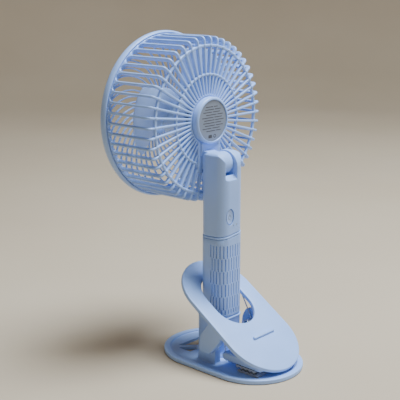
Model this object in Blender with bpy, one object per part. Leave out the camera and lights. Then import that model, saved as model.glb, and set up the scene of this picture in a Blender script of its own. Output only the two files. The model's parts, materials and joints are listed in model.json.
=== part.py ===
"""Clip-on desk fan: clip base with a spring lever, an upright battery handle, a tilting fan head.

+Z is up, the handle's axis is x = y = 0, the base stands on z = 0.
The fan blows towards -Y, its rear face looks along +Y, and the clip's mouth is at +Y.
Dimensions below are in millimetres and are turned into metres when a mesh is made.
"""

import math

import bmesh
import bpy
from mathutils import Vector

MM = 0.001

# Head
HEAD_Z = 196.0
RIM_R = 69.2
RIM_REAR_Y = -61.6
RIM_FRONT_Y = -68.4
RIM_WALL = 1.8
DRUM_FRONT_R = 67.0
DRUM_REAR_R = 66.6
DRUM_REAR_Y = -20.5
RIBS = 50
RIB_WIDTH = 1.9
RIB_DEPTH = 3.4
REAR_Y = -14.8
OUTER_RING = (60.4, 58.0)
MID_RING = (37.6, 35.3)
HUB_RING = (20.9, 19.2)
SWIRL_BARS = 40
SWIRL_TURN = math.radians(44)
FRONT_CENTRE_R = 17.0
HUB_R = 18.9
HUB_FACE_Y = -9.4
LABEL_R = 16.5
LABEL_Y = -10.1

# Impeller and motor
BLADES = 3
BLADE_TIP_R = 59.0
BLADE_EDGE_Y = -43.2
IMPELLER_HUB_R = 18.0
# Along the blade: share of its length, then its two edges in degrees round the hub.
BLADE_SPAN = (
    (0.0, -14, 76),
    (0.26, -21, 57),
    (0.48, -25, 45),
    (0.7, -30.5, 39),
    (0.88, -30, 34),
    (0.96, -26, 30.5),
    (1.0, -18, 25),
)
SHAFT_R = 1.5
BORE_GAP = 0.08

# Tilt hinge
TILT_Z = 163.0
KNUCKLE_R = 9.3
SLOT_X = (-3.6, 9.0)
SLOT_FLOOR_Z = 151.2
SLOT_GAP = 0.5
TILT_PIN_R = 2.0
NECK_X = (-14.2, 12.6)
NECK_Z = (155.2, 181.5)
NECK_REAR_Y = -14.3
NECK_FRONT_Y = -18.6

# Handle
BODY_HALF = 13.1
BODY_CORNER = 8.0
GRIP_HALF = 13.4
WALL = 2.0
SHELL_TOP_Z = 173.1
ARCH_R = 13.15
SEAM_Z = 104.5
SEAM_SLOPE = (-0.11, 0.045)
SEAM_HEIGHT = 1.6
GRIP_BOTTOM_Z = 36.4
BUTTON_X = 4.4
BUTTON_Z = 121.0
BUTTON_HALF = (4.0, 6.3)
LIGHT_SPOTS = ((0.8, 113.2), (-3.1, 113.5))
INLET_Z = 117.0

# Clip
BASE_FRONT = (40.6, -10.0)
BASE_REAR = (40.0, 35.5)
BASE_THICK = 3.6
BASE_FLOOR = 2.4
BASE_BORDER = 5.0
BASE_WINDOWS = (
    ((17.5, -32.6), (-17.5, -32.6), (-3.3, -19.5), (3.3, -19.5)),
    ((20.8, -29.5), (20.8, -16.0), (13.4, -16.0), (9.9, -19.2)),
    ((-20.8, -29.5), (-9.9, -19.2), (-13.4, -16.0), (-20.8, -16.0)),
)
SOCKET_FRONT = 4.5
LEVER_ANGLE = math.radians(33.3)
LEVER_ORIGIN = (-17.7, 66.17)
LEVER_UPPER = (35.2, 21.4)
LEVER_LOWER = (35.6, 71.0)
LEVER_THICK = 3.4
LEVER_HOLE = (19.8, 24.0, 36.6)
JAW_Z = (8.0, 15.0)
JAW_NOSE_Y = 22.0
JAW_HALF = 25.5
PIN_Y = 14.0
PIN_Z = 24.0
PIN_R = 1.6
PIN_X = (15.0, 29.2)
CHEEK_X = (27.0, 30.4)
TOWER_X = (22.6, 26.4)
LEG_X = 19.3
NECK_OUT_X = 28.8
SPRING_X = (16.0, 21.6)
SPRING_TURNS = 4
SPRING_COIL_R = 3.1
SPRING_WIRE_R = 0.55

SHELL = (0.80, 0.86, 0.93, 1.0)


def clear_scene():
    for item in list(bpy.data.objects):
        bpy.data.objects.remove(item, do_unlink=True)


def material(name, colour, roughness, metallic=0.0):
    found = bpy.data.materials.get(name)
    if found is not None:
        return found
    made = bpy.data.materials.new(name)
    made.use_nodes = True
    shader = made.node_tree.nodes["Principled BSDF"]
    shader.inputs["Base Color"].default_value = colour
    shader.inputs["Roughness"].default_value = roughness
    shader.inputs["Metallic"].default_value = metallic
    made.diffuse_color = colour
    return made


def add_object(name, verts, faces, look, smooth=False):
    mesh = bpy.data.meshes.new(name)
    scaled = [(x * MM, y * MM, z * MM) for x, y, z in verts]
    mesh.from_pydata(scaled, [], faces)
    mesh.validate()
    tool = bmesh.new()
    tool.from_mesh(mesh)
    bmesh.ops.recalc_face_normals(tool, faces=tool.faces)
    tool.to_mesh(mesh)
    tool.free()
    for polygon in mesh.polygons:
        polygon.use_smooth = smooth
    made = bpy.data.objects.new(name, mesh)
    bpy.context.collection.objects.link(made)
    made.data.materials.append(look)
    return made


def loft(name, rings, look, closed=False, smooth=False):
    """Joins rings of equal length in order; the ends are capped unless the loft is closed on itself."""
    count = len(rings[0])
    verts = [point for ring in rings for point in ring]
    faces = []
    steps = len(rings) if closed else len(rings) - 1
    for row in range(steps):
        low = row * count
        high = ((row + 1) % len(rings)) * count
        for i in range(count):
            j = (i + 1) % count
            faces.append((low + i, low + j, high + j, high + i))
    if not closed:
        faces.append(tuple(reversed(range(count))))
        last = (len(rings) - 1) * count
        faces.append(tuple(last + i for i in range(count)))
    return add_object(name, verts, faces, look, smooth)


def circle(radius, count, phase=0.0):
    return [
        (radius * math.cos(phase + 2 * math.pi * i / count),
         radius * math.sin(phase + 2 * math.pi * i / count))
        for i in range(count)
    ]


def squircle(half, corner, steps=6):
    """Outline of a square with round corners, centred on the origin."""
    points = []
    flat = half - corner
    for quarter, (sx, sy) in enumerate(((1, 1), (-1, 1), (-1, -1), (1, -1))):
        for i in range(steps + 1):
            angle = math.pi / 2 * (quarter + i / steps)
            points.append((sx * flat + corner * math.cos(angle), sy * flat + corner * math.sin(angle)))
    return points


def capsule(radius_a, centre_a, radius_b, centre_b, count=64, inset=0.0):
    """Outline round two circles on one line: (across, along) points, from the tangent angle."""
    ra = radius_a - inset
    rb = radius_b - inset
    gap = centre_b - centre_a
    lean = math.asin((radius_a - radius_b) / gap)
    points = []
    half = count // 2
    for i in range(half):
        angle = lean + (math.pi - 2 * lean) * i / (half - 1)
        points.append((rb * math.cos(angle), centre_b + rb * math.sin(angle)))
    for i in range(half):
        angle = math.pi - lean + (math.pi + 2 * lean) * i / (half - 1)
        points.append((ra * math.cos(angle), centre_a + ra * math.sin(angle)))
    return points


def level(points, z):
    return [(x, y, z) for x, y in points]


def seam_height(x, y):
    return SEAM_Z + SEAM_SLOPE[0] * x + SEAM_SLOPE[1] * y


def along_seam(points, rise=0.0):
    return [(x, y, seam_height(x, y) + rise) for x, y in points]


def turned(name, profile, look, count=48, centre=(0.0, HEAD_Z), closed=False, smooth=True):
    """A round piece on the fan's axis: profile is (radius, y) pairs."""
    rings = []
    for radius, y in profile:
        rings.append([(centre[0] + px, y, centre[1] + pz) for px, pz in circle(radius, count)])
    return loft(name, rings, look, closed, smooth)


def bar_x(name, radius, x0, x1, y, z, look, count=24):
    rings = []
    for x in (x0, x1):
        rings.append([(x, y + py, z + pz) for py, pz in circle(radius, count)])
    return loft(name, rings, look)


def prism_x(name, outline, x0, x1, look):
    """An outline of (y, z) points stretched from x0 to x1."""
    return loft(name, [[(x, y, z) for y, z in outline] for x in (x0, x1)], look)


def prism_y(name, outline, y0, y1, look):
    """An outline of (x, z) points stretched from y0 to y1."""
    return loft(name, [[(x, y, z) for x, z in outline] for y in (y0, y1)], look)


def box(name, x, y, z, look):
    outline = [(y[0], z[0]), (y[1], z[0]), (y[1], z[1]), (y[0], z[1])]
    return prism_x(name, outline, x[0], x[1], look)


def combine(target, tool, operation):
    """Applies a Boolean to target and removes the tool."""
    step = target.modifiers.new("step", "BOOLEAN")
    step.operation = operation
    step.solver = "EXACT"
    step.object = tool
    bpy.context.view_layer.update()
    graph = bpy.context.evaluated_depsgraph_get()
    result = bpy.data.meshes.new_from_object(target.evaluated_get(graph))
    target.modifiers.remove(step)
    old = target.data
    target.data = result
    bpy.data.meshes.remove(old)
    bpy.data.objects.remove(tool, do_unlink=True)
    return target


def tidy(item):
    tool = bmesh.new()
    tool.from_mesh(item.data)
    bmesh.ops.remove_doubles(tool, verts=tool.verts, dist=1e-6)
    bmesh.ops.dissolve_degenerate(tool, dist=1e-7, edges=tool.edges)
    bmesh.ops.recalc_face_normals(tool, faces=tool.faces)
    tool.to_mesh(item.data)
    tool.free()
    return item


def lattice(name, rows, solid, count, width, look):
    """A turned shell pierced between its ribs.

    rows holds (outer radius, outer y, inner radius, inner y, turn) at each step of the section;
    solid says for each step whether the shell also fills the gap between ribs.
    """
    verts = []
    for ro, yo, ri, yi, turn in rows:
        for k in range(count):
            middle = 2 * math.pi * k / count + turn
            for side in (-1, 1):
                angle = middle + side * width / 2 / ro
                verts.append((ro * math.cos(angle), yo, HEAD_Z + ro * math.sin(angle)))
                angle = middle + side * width / 2 / max(ri, 1.0)
                verts.append((ri * math.cos(angle), yi, HEAD_Z + ri * math.sin(angle)))
    columns = 2 * count

    def at(row, column, face):
        return (row * columns + column % columns) * 2 + face

    def filled(row, column):
        if row < 0 or row >= len(solid):
            return False
        return column % 2 == 0 or solid[row]

    faces = []
    for row in range(len(solid)):
        for column in range(columns):
            if not filled(row, column):
                continue
            nxt = column + 1
            faces.append((at(row, column, 0), at(row, nxt, 0), at(row + 1, nxt, 0), at(row + 1, column, 0)))
            faces.append((at(row, column, 1), at(row + 1, column, 1), at(row + 1, nxt, 1), at(row, nxt, 1)))
            if not filled(row, column + 1):
                faces.append((at(row, nxt, 0), at(row, nxt, 1), at(row + 1, nxt, 1), at(row + 1, nxt, 0)))
            if not filled(row, column - 1):
                faces.append((at(row, column, 1), at(row, column, 0), at(row + 1, column, 0), at(row + 1, column, 1)))
            if not filled(row - 1, column):
                faces.append((at(row, column, 0), at(row, column, 1), at(row, nxt, 1), at(row, nxt, 0)))
            if not filled(row + 1, column):
                faces.append(
                    (at(row + 1, column, 1), at(row + 1, column, 0), at(row + 1, nxt, 0), at(row + 1, nxt, 1))
                )
    return add_object(name, verts, faces, look)


def rear_guard(look):
    """Ribbed drum and rear face in one moulding, with the neck's seat cut out below the hub."""
    d = RIB_DEPTH
    rows = [
        (DRUM_FRONT_R, -64.2, DRUM_FRONT_R - d, -64.2, 0.0),
        (DRUM_FRONT_R, RIM_REAR_Y + 0.6, DRUM_FRONT_R - d, RIM_REAR_Y + 0.6, 0.0),
        (DRUM_REAR_R, DRUM_REAR_Y, DRUM_REAR_R - d, DRUM_REAR_Y, 0.0),
        (DRUM_REAR_R - 0.9, REAR_Y - 2.6, DRUM_REAR_R - 3.8, REAR_Y - 4.8, 0.0),
        (DRUM_REAR_R - 2.6, REAR_Y - 0.8, DRUM_REAR_R - 4.8, REAR_Y - 3.8, 0.0),
        (OUTER_RING[0], REAR_Y, OUTER_RING[0] - 0.4, REAR_Y - d, 0.0),
        (OUTER_RING[1], REAR_Y, OUTER_RING[1], REAR_Y - d, 0.0),
        (MID_RING[0], REAR_Y, MID_RING[0], REAR_Y - d, 0.0),
        (MID_RING[1], REAR_Y, MID_RING[1], REAR_Y - d, 0.0),
        (HUB_RING[0], REAR_Y, HUB_RING[0], REAR_Y - d, 0.0),
        (HUB_RING[1], REAR_Y, HUB_RING[1], REAR_Y - d, 0.0),
    ]
    solid = [True, False, False, False, False, True, False, True, False, True]
    guard = lattice("rear_guard", rows, solid, RIBS, RIB_WIDTH, look)
    gap = 0.3
    seat = box(
        "seat",
        (NECK_X[0] - gap, NECK_X[1] + gap),
        (-30.0, -5.0),
        (NECK_Z[0] - gap, NECK_Z[1] + gap),
        look,
    )
    return tidy(combine(guard, seat, "DIFFERENCE"))


def front_cover(look):
    """Outer rim, swirling front bars and centre plate in one moulding."""
    wall = RIM_WALL
    rows = [
        (RIM_R - 0.3, RIM_REAR_Y, RIM_R - wall, RIM_REAR_Y, 0.0),
        (RIM_R, RIM_FRONT_Y + 3.0, RIM_R - wall, RIM_FRONT_Y + 3.6, 0.0),
        (RIM_R - 1.2, RIM_FRONT_Y, RIM_R - 3.4, RIM_FRONT_Y + 2.2, 0.0),
        (63.4, RIM_FRONT_Y - 0.6, 63.4, RIM_FRONT_Y + 1.4, 0.0),
    ]
    steps = 5
    for i in range(1, steps + 1):
        share = i / steps
        radius = 63.4 + (FRONT_CENTRE_R - 63.4) * share
        y = RIM_FRONT_Y - 0.6 - 2.6 * math.sin(share * math.pi / 2)
        rows.append((radius, y, radius, y + 2.0, SWIRL_TURN * share ** 0.8))
    rows.append((13.0, RIM_FRONT_Y - 3.3, 13.0, RIM_FRONT_Y - 1.3, SWIRL_TURN))
    solid = [True, True, True] + [False] * steps + [True]
    cover = lattice("front_cover", rows, solid, SWIRL_BARS, 1.0, look)
    return tidy(cover)


def front_badge(look):
    """Domed disc in the middle of the front cover."""
    y = RIM_FRONT_Y - 3.3
    profile = [(12.7, y + 2.0), (12.7, y - 0.4), (11.4, y - 1.1), (6.0, y - 1.6)]
    return turned("front_badge", profile, look, 32)


def motor_cover(look):
    """Raised round boss on the rear face, open towards the motor, with a recess for the label."""
    profile = [
        (LABEL_R + 0.25, LABEL_Y - 0.7),
        (LABEL_R + 0.25, HUB_FACE_Y),
        (HUB_R - 1.2, HUB_FACE_Y),
        (HUB_R, HUB_FACE_Y - 1.4),
        (HUB_R, REAR_Y - RIB_DEPTH - 1.0),
        (HUB_R - 2.0, REAR_Y - RIB_DEPTH - 1.0),
        (HUB_R - 2.0, LABEL_Y - 2.6),
    ]
    return turned("motor_cover", profile, look, 48)


def rear_label(look):
    return turned("rear_label", [(LABEL_R, LABEL_Y), (LABEL_R, LABEL_Y - 0.4)], look, 48)


def neck_bracket(look):
    """Plate under the hub with an arm that carries the tilt knuckle."""
    x0, x1 = NECK_X
    z0, z1 = NECK_Z
    plate = box("neck_bracket", (x0, x1), (NECK_FRONT_Y, NECK_REAR_Y), (z0, z1), look)
    hub = turned("hub_relief", [(HUB_R + 0.3, -30.0), (HUB_R + 0.3, -5.0)], look, 48)
    combine(plate, hub, "DIFFERENCE")
    left = SLOT_X[0] + SLOT_GAP
    right = SLOT_X[1] - SLOT_GAP
    arm = box("arm", (left, right), (NECK_REAR_Y - 1.0, -3.0), (TILT_Z - 5.5, TILT_Z + 7.5), look)
    combine(plate, arm, "UNION")
    knuckle = bar_x("knuckle", KNUCKLE_R, left, right, 0.0, TILT_Z, look, 32)
    combine(plate, knuckle, "UNION")
    bore = bar_x("bore", TILT_PIN_R + BORE_GAP, -20.0, 20.0, 0.0, TILT_Z, look)
    return tidy(combine(plate, bore, "DIFFERENCE"))


def tilt_pin(look):
    return bar_x("tilt_pin", TILT_PIN_R, SLOT_X[0] - 4.2, SLOT_X[1] + 1.6, 0.0, TILT_Z, look)


def motor_stator(look):
    profile = [(12.4, -20.4), (12.4, -30.4), (SHAFT_R + 1.6, -30.4), (SHAFT_R + 1.6, -20.4)]
    return turned("motor_stator", profile, look, 32, closed=True)


def motor_mount(look):
    """Plate between the rear boss and the motor, with a sleeve that holds the bearing."""
    profile = [
        (HUB_R - 2.3, -14.2),
        (HUB_R - 2.3, -16.2),
        (3.0, -16.2),
        (3.0, -29.6),
        (2.2 + BORE_GAP, -29.6),
        (2.2 + BORE_GAP, -14.2),
    ]
    return turned("motor_mount", profile, look, 32, closed=True)


def shaft_bearing(look):
    inner = SHAFT_R + BORE_GAP
    profile = [(2.2, -18.0), (2.2, -29.0), (inner, -29.0), (inner, -18.0)]
    return turned("shaft_bearing", profile, look, 24, closed=True)


def motor_shaft(look):
    return turned("motor_shaft", [(SHAFT_R, -17.6), (SHAFT_R, -52.0)], look, 24)


def rotor_can(look):
    """Steel cup with the magnets, open towards the rear, fixed on the shaft."""
    inner = SHAFT_R + BORE_GAP
    profile = [
        (inner, -34.4),
        (inner, -32.0),
        (13.2, -32.0),
        (13.2, -20.6),
        (15.0, -20.6),
        (15.0, -34.4),
    ]
    return turned("rotor_can", profile, look, 32, closed=True)


def impeller(look):
    """Three broad blades round a cup-shaped hub."""
    inner = SHAFT_R + BORE_GAP
    profile = [
        (inner, -51.0),
        (inner, -36.0),
        (IMPELLER_HUB_R - 2.0, -36.0),
        (IMPELLER_HUB_R - 2.0, -24.0),
        (IMPELLER_HUB_R, -24.0),
        (IMPELLER_HUB_R, -50.0),
        (IMPELLER_HUB_R - 3.0, -53.0),
        (5.0, -53.0),
    ]
    hub = turned("impeller", profile, look, 30, closed=True)
    for k in range(BLADES):
        combine(hub, blade(look, 2 * math.pi * k / BLADES), "UNION")
    return tidy(hub)


def blade(look, start):
    """One blade: a broad petal, swept at its root and rounded at its tip, bowed towards the rear."""
    chords = 8
    root = IMPELLER_HUB_R - 1.2
    top = []
    bottom = []
    for share, low, high in BLADE_SPAN:
        radius = root + (BLADE_TIP_R - root) * share
        lean = 7.5 - 6.7 * share
        for j in range(chords + 1):
            across = 2 * j / chords - 1
            angle = start + math.radians(low + (high - low) * (across + 1) / 2)
            y = BLADE_EDGE_Y + lean * across + 3.2 * (1 - across ** 2)
            for side, sheet in ((0.75, top), (-0.75, bottom)):
                sheet.append((radius * math.cos(angle), y + side, HEAD_Z + radius * math.sin(angle)))
    verts = top + bottom
    shift = len(top)
    spans = len(BLADE_SPAN) - 1
    row = chords + 1
    faces = []
    for i in range(spans):
        for j in range(chords):
            a = i * row + j
            faces.append((a, a + 1, a + row + 1, a + row))
            faces.append((a + shift, a + row + shift, a + row + 1 + shift, a + 1 + shift))
    edge = list(range(row))
    edge += [i * row + chords for i in range(1, spans + 1)]
    edge += [spans * row + j for j in range(chords - 1, -1, -1)]
    edge += [i * row for i in range(spans - 1, 0, -1)]
    for a, b in zip(edge, edge[1:] + edge[:1]):
        faces.append((a, b, b + shift, a + shift))
    return add_object("blade", verts, faces, look)


def upper_shell(look):
    """Upper half of the handle: hollow below, two ears round the knuckle's slot on top."""
    outer = squircle(BODY_HALF, BODY_CORNER)
    inner = squircle(BODY_HALF - WALL, BODY_CORNER - WALL)
    rings = [
        level(inner, SLOT_FLOOR_Z - 3.0),
        along_seam(inner, SEAM_HEIGHT / 2 + 0.3),
        along_seam(outer, SEAM_HEIGHT / 2 + 0.3),
        level(outer, SHELL_TOP_Z + 5.0),
    ]
    shell = loft("upper_shell", rings, look)
    arch = [(-20.0, 90.0), (20.0, 90.0), (20.0, 140.0)]
    centre = SHELL_TOP_Z - ARCH_R
    for i in range(17):
        angle = math.pi * i / 16
        arch.append((ARCH_R * math.cos(angle), centre + ARCH_R * math.sin(angle)))
    arch.append((-20.0, 140.0))
    combine(shell, prism_x("arch", arch, -30.0, 30.0, look), "INTERSECT")
    crown = [(-30.0, 90.0), (30.0, 90.0), (30.0, 150.0), (14.2, 150.0)]
    radius = 6.0
    for sign in (1, -1):
        for i in range(5):
            angle = math.pi / 2 * (i / 4 if sign > 0 else 1 - i / 4)
            crown.append(
                (sign * (14.2 - radius + radius * math.cos(angle)),
                 SHELL_TOP_Z + 0.3 - radius + radius * math.sin(angle))
            )
    crown += [(-14.2, 150.0), (-30.0, 150.0)]
    combine(shell, prism_y("crown", crown, -30.0, 30.0, look), "INTERSECT")
    floor = SLOT_FLOOR_Z
    section = [
        (-30.0, floor),
        (6.2, floor),
        (8.6, floor + 3.2),
        (9.4, floor + 3.2),
        (14.0, floor - 1.4),
        (30.0, floor - 1.4),
        (30.0, 190.0),
        (-30.0, 190.0),
    ]
    combine(shell, prism_x("slot", section, SLOT_X[0], SLOT_X[1], look), "DIFFERENCE")
    bore = bar_x(
        "bore", TILT_PIN_R + BORE_GAP, SLOT_X[0] - 4.4, SLOT_X[1] + 1.8, 0.0, TILT_Z, look
    )
    combine(shell, bore, "DIFFERENCE")
    combine(shell, button_plug("pocket", 0.35, 5.0, 20.0, look), "DIFFERENCE")
    for x, z in LIGHT_SPOTS:
        hole = turned("hole", [(0.85, 5.0), (0.85, 20.0)], look, 12, (x, z))
        combine(shell, hole, "DIFFERENCE")
    inlet = box("inlet", (-20.0, -5.0), (-4.8, 4.8), (INLET_Z - 1.9, INLET_Z + 1.9), look)
    combine(shell, inlet, "DIFFERENCE")
    return tidy(shell)


def button_plug(name, grow, y0, y1, look):
    outline = []
    for px, pz in circle(1.0, 28):
        outline.append((BUTTON_X + px * (BUTTON_HALF[0] + grow), BUTTON_Z + pz * (BUTTON_HALF[1] + grow)))
    return prism_y(name, outline, y0, y1, look)


def power_button(look):
    """Oval key that sinks into the shell, with a collar that keeps it inside."""
    key = button_plug("power_button", 0.0, 7.5, 12.55, look)
    collar = button_plug("collar", 0.9, 7.5, 8.5, look)
    return tidy(combine(key, collar, "UNION"))


def light_window(name, spot, look):
    x, z = spot
    return turned(name, [(0.7, 11.2), (0.7, 13.0)], look, 12, (x, z))


def charge_port(look):
    """Charging socket's metal mouth in the side of the handle."""
    outer = box("charge_port", (-12.9, -7.0), (-4.5, 4.5), (INLET_Z - 1.6, INLET_Z + 1.6), look)
    inner = box("mouth", (-14.0, -8.0), (-4.1, 4.1), (INLET_Z - 1.2, INLET_Z + 1.2), look)
    return tidy(combine(outer, inner, "DIFFERENCE"))


def seam_band(look):
    """Thin ring that covers the joint between the handle's two halves."""
    outer = squircle(GRIP_HALF, BODY_CORNER + 0.3)
    inner = squircle(BODY_HALF - WALL, BODY_CORNER - WALL)
    half = SEAM_HEIGHT / 2
    rings = [
        along_seam(outer, -half),
        along_seam(outer, half),
        along_seam(inner, half),
        along_seam(inner, -half),
    ]
    return loft("seam_band", rings, look, closed=True)


def grip(look):
    """Lower half of the handle, open at its top."""
    outer = squircle(GRIP_HALF, BODY_CORNER + 0.3)
    inner = squircle(BODY_HALF - WALL, BODY_CORNER - WALL)
    foot = squircle(GRIP_HALF - 0.7, BODY_CORNER - 0.4)
    low = -SEAM_HEIGHT / 2 - 0.3
    rings = [
        level(inner, GRIP_BOTTOM_Z),
        level(foot, GRIP_BOTTOM_Z),
        level(outer, GRIP_BOTTOM_Z + 0.8),
        along_seam(outer, low),
        along_seam(inner, low),
    ]
    return loft("grip", rings, look, closed=True)


def foot_plug(look):
    """Closes the grip from below and stands in the base's socket."""
    inner = squircle(BODY_HALF - WALL - 0.3, BODY_CORNER - WALL - 0.3)
    stem = squircle(9.6, 5.0)
    rings = [
        level(squircle(9.0, 4.4), 23.4),
        level(stem, 24.2),
        level(stem, GRIP_BOTTOM_Z + 0.3),
        level(inner, GRIP_BOTTOM_Z + 0.3),
        level(inner, GRIP_BOTTOM_Z + 2.6),
    ]
    return loft("foot_plug", rings, look)


def battery_cell(look):
    rings = []
    for radius, z in ((8.2, 40.2), (9.1, 41.2), (9.1, 104.2), (8.2, 105.2)):
        rings.append(level(circle(radius, 32), z))
    return loft("battery_cell", rings, look, smooth=True)


def battery_contact(look):
    """Flat contact plate above the cell."""
    return box("battery_contact", (-6.0, 6.0), (-6.0, 6.0), (105.6, 106.2), look)


def control_board(look):
    return box("control_board", (-7.0, 9.4), (4.4, 5.6), (108.0, 140.0), look)


def control_switch(look):
    """Push switch on the board behind the key."""
    return box("control_switch", (BUTTON_X - 3.0, BUTTON_X + 3.0), (5.9, 6.5), (118.0, 124.0), look)


def base_plate(look):
    """Flat foot of the clip with a raised border, two towers for the pins and three windows."""
    def ring(inset, z):
        return level(capsule(*BASE_FRONT, *BASE_REAR, 64, inset), z)

    rings = [
        ring(1.2, 0.0),
        ring(0.0, 1.2),
        ring(0.0, BASE_THICK - 0.9),
        ring(0.9, BASE_THICK),
        ring(BASE_BORDER, BASE_THICK),
        ring(BASE_BORDER + 0.8, BASE_FLOOR),
    ]
    plate = loft("base_plate", rings, look)
    for points in BASE_WINDOWS:
        combine(plate, loft("window", [level(points, -5.0), level(points, 9.0)], look), "DIFFERENCE")
    tower = [
        (-2.4, 1.0),
        (-2.2, 8.0),
        (3.2, 14.0),
        (4.0, 28.0),
        (8.0, 34.8),
        (11.0, 36.0),
        (18.0, 32.6),
        (21.8, 29.0),
        (21.8, 20.6),
        (16.3, 14.5),
        (16.3, 1.0),
    ]
    leg = [(-2.4, 1.0), (-2.2, 8.0), (2.0, 12.5), (16.3, 14.5), (16.3, 1.0)]
    for sign in (-1, 1):
        wall = prism_x("tower", tower, sign * TOWER_X[0], sign * TOWER_X[1], look)
        combine(plate, wall, "UNION")
        combine(plate, prism_x("leg", leg, sign * LEG_X, sign * (TOWER_X[0] + 1.0), look), "UNION")
    bore = bar_x("bore", PIN_R + BORE_GAP, -40.0, 40.0, PIN_Y, PIN_Z, look)
    return tidy(combine(plate, bore, "DIFFERENCE"))


def handle_socket(look):
    """Square column on the base, deeper towards the front, with a pocket for the handle's foot."""
    def deeper(half, corner):
        return [(x, y - SOCKET_FRONT if y < 0 else y) for x, y in squircle(half, corner)]

    outer = deeper(GRIP_HALF - 0.1, BODY_CORNER + 0.2)
    lip = deeper(GRIP_HALF + 0.5, BODY_CORNER + 0.8)
    foot = deeper(GRIP_HALF + 1.4, BODY_CORNER + 1.6)
    pocket = squircle(9.9, 5.3)
    rings = [
        level(foot, BASE_FLOOR + 0.3),
        level(foot, BASE_FLOOR + 1.6),
        level(outer, BASE_FLOOR + 3.0),
        level(outer, GRIP_BOTTOM_Z - 2.0),
        level(lip, GRIP_BOTTOM_Z - 1.6),
        level(lip, GRIP_BOTTOM_Z - 0.4),
        level(pocket, GRIP_BOTTOM_Z - 0.4),
        level(pocket, 23.0),
    ]
    return loft("handle_socket", rings, look)


def lever_point(x, u, height):
    """A point on the lever: x across, u down its slope, height above its top face."""
    c = math.cos(LEVER_ANGLE)
    s = math.sin(LEVER_ANGLE)
    return (x, LEVER_ORIGIN[0] + c * u + s * height, LEVER_ORIGIN[1] - s * u + c * height)


def on_lever(points, height):
    return [lever_point(x, u, height) for x, u in points]


def lever_block(name, x, u, height, look):
    outline = [(x[0], u[0]), (x[1], u[0]), (x[1], u[1]), (x[0], u[1])]
    return loft(name, [on_lever(outline, height[0]), on_lever(outline, height[1])], look)


def clip_lever(look):
    """Sloping squeeze plate with a window for the handle, side cheeks for the pins and a level jaw."""
    def outline(inset, height):
        return on_lever(capsule(*LEVER_UPPER, *LEVER_LOWER, 64, inset), height)

    radius, first, second = LEVER_HOLE

    def window(inset, height):
        return on_lever(capsule(radius, first, radius, second, 64, inset), height)

    rings = [
        outline(1.3, 0.0),
        outline(0.0, -1.2),
        outline(0.0, -LEVER_THICK),
        window(0.0, -LEVER_THICK),
        window(0.0, -1.0),
        window(-1.0, 0.0),
    ]
    lever = loft("clip_lever", rings, look, closed=True)
    cheek = [(13.9, 39.2), (25.6, 32.3), (25.8, 26.2), (13.6, 11.0), (4.0, 11.4), (2.0, 14.0), (3.2, 24.6)]
    neck = [(12.4, 44.0), (28.0, 34.0), (24.0, 29.0), (13.0, 35.0)]
    for sign in (-1, 1):
        wall = prism_x("cheek", cheek, sign * CHEEK_X[0], sign * CHEEK_X[1], look)
        combine(lever, wall, "UNION")
        combine(lever, prism_x("neck", neck, sign * CHEEK_X[0], sign * NECK_OUT_X, look), "UNION")
    combine(lever, lever_block("grip_bar", (-16.2, 9.8), (70.8, 73.2), (-1.0, 2.0), look), "UNION")
    jaw = prism_x("jaw", jaw_section(), -JAW_HALF, JAW_HALF, look)
    edge = [lever_point(x, u, 0.0)[:2] for x, u in capsule(*LEVER_UPPER, *LEVER_LOWER, 64, 3.0)]
    trim = loft("jaw_trim", [level(edge, 0.0), level(edge, 90.0)], look)
    combine(lever, combine(jaw, trim, "INTERSECT"), "UNION")
    for x in (-10.0, 10.0):
        web = [(40.0, 14.0), (52.0, 14.0), (52.0, 17.5), (40.0, 25.5)]
        combine(lever, prism_x("web", web, x - 1.0, x + 1.0, look), "UNION")
    bore = bar_x("bore", PIN_R + BORE_GAP, -29.4, 29.4, PIN_Y, PIN_Z, look)
    return tidy(combine(lever, bore, "DIFFERENCE"))


def jaw_section():
    """Level slab under the lever: a round nose towards the handle, its other end grown into the lever."""
    low, high = JAW_Z
    radius = (high - low) / 2
    section = [(61.0, low), (64.0, 9.2), (62.0, 11.5), (54.5, 16.5), (53.0, high)]
    for i in range(9):
        angle = math.pi / 2 + math.pi * i / 8
        section.append((JAW_NOSE_Y + radius + radius * math.cos(angle), low + radius + radius * math.sin(angle)))
    return section


def clip_pin(name, sign, look):
    """Stub axle through one tower and the cheek beside it."""
    return bar_x(name, PIN_R, sign * PIN_X[0], sign * PIN_X[1], PIN_Y, PIN_Z, look)


def clip_spring(name, sign, look):
    """Torsion spring round one stub axle: a leg down to the base and a leg up under the lever."""
    per_turn = 10
    rise = math.radians(30.7)
    sweep = 2 * math.pi * SPRING_TURNS + rise
    steps = SPRING_TURNS * per_turn + 1
    centres = [(SPRING_X[0], PIN_Y + 6.0, BASE_FLOOR + 0.3 + SPRING_WIRE_R)]
    for i in range(steps + 1):
        angle = sweep * i / steps
        x = SPRING_X[0] + (SPRING_X[1] - SPRING_X[0]) * i / steps
        y = PIN_Y + SPRING_COIL_R * math.cos(angle)
        centres.append((x, y, PIN_Z + SPRING_COIL_R * math.sin(angle)))
    centres.append((SPRING_X[1], 5.0, 46.1))
    rings = []
    for i, here in enumerate(centres):
        before = Vector(centres[max(i - 1, 0)])
        after = Vector(centres[min(i + 1, len(centres) - 1)])
        run = (after - before).normalized()
        side = run.cross(Vector((1.0, 0.0, 0.0))).normalized()
        other = run.cross(side).normalized()
        ring = []
        for px, py in circle(SPRING_WIRE_R, 6):
            point = Vector(here) + side * px + other * py
            ring.append((sign * point.x, point.y, point.z))
        rings.append(ring)
    return loft(name, rings, look)


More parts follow.
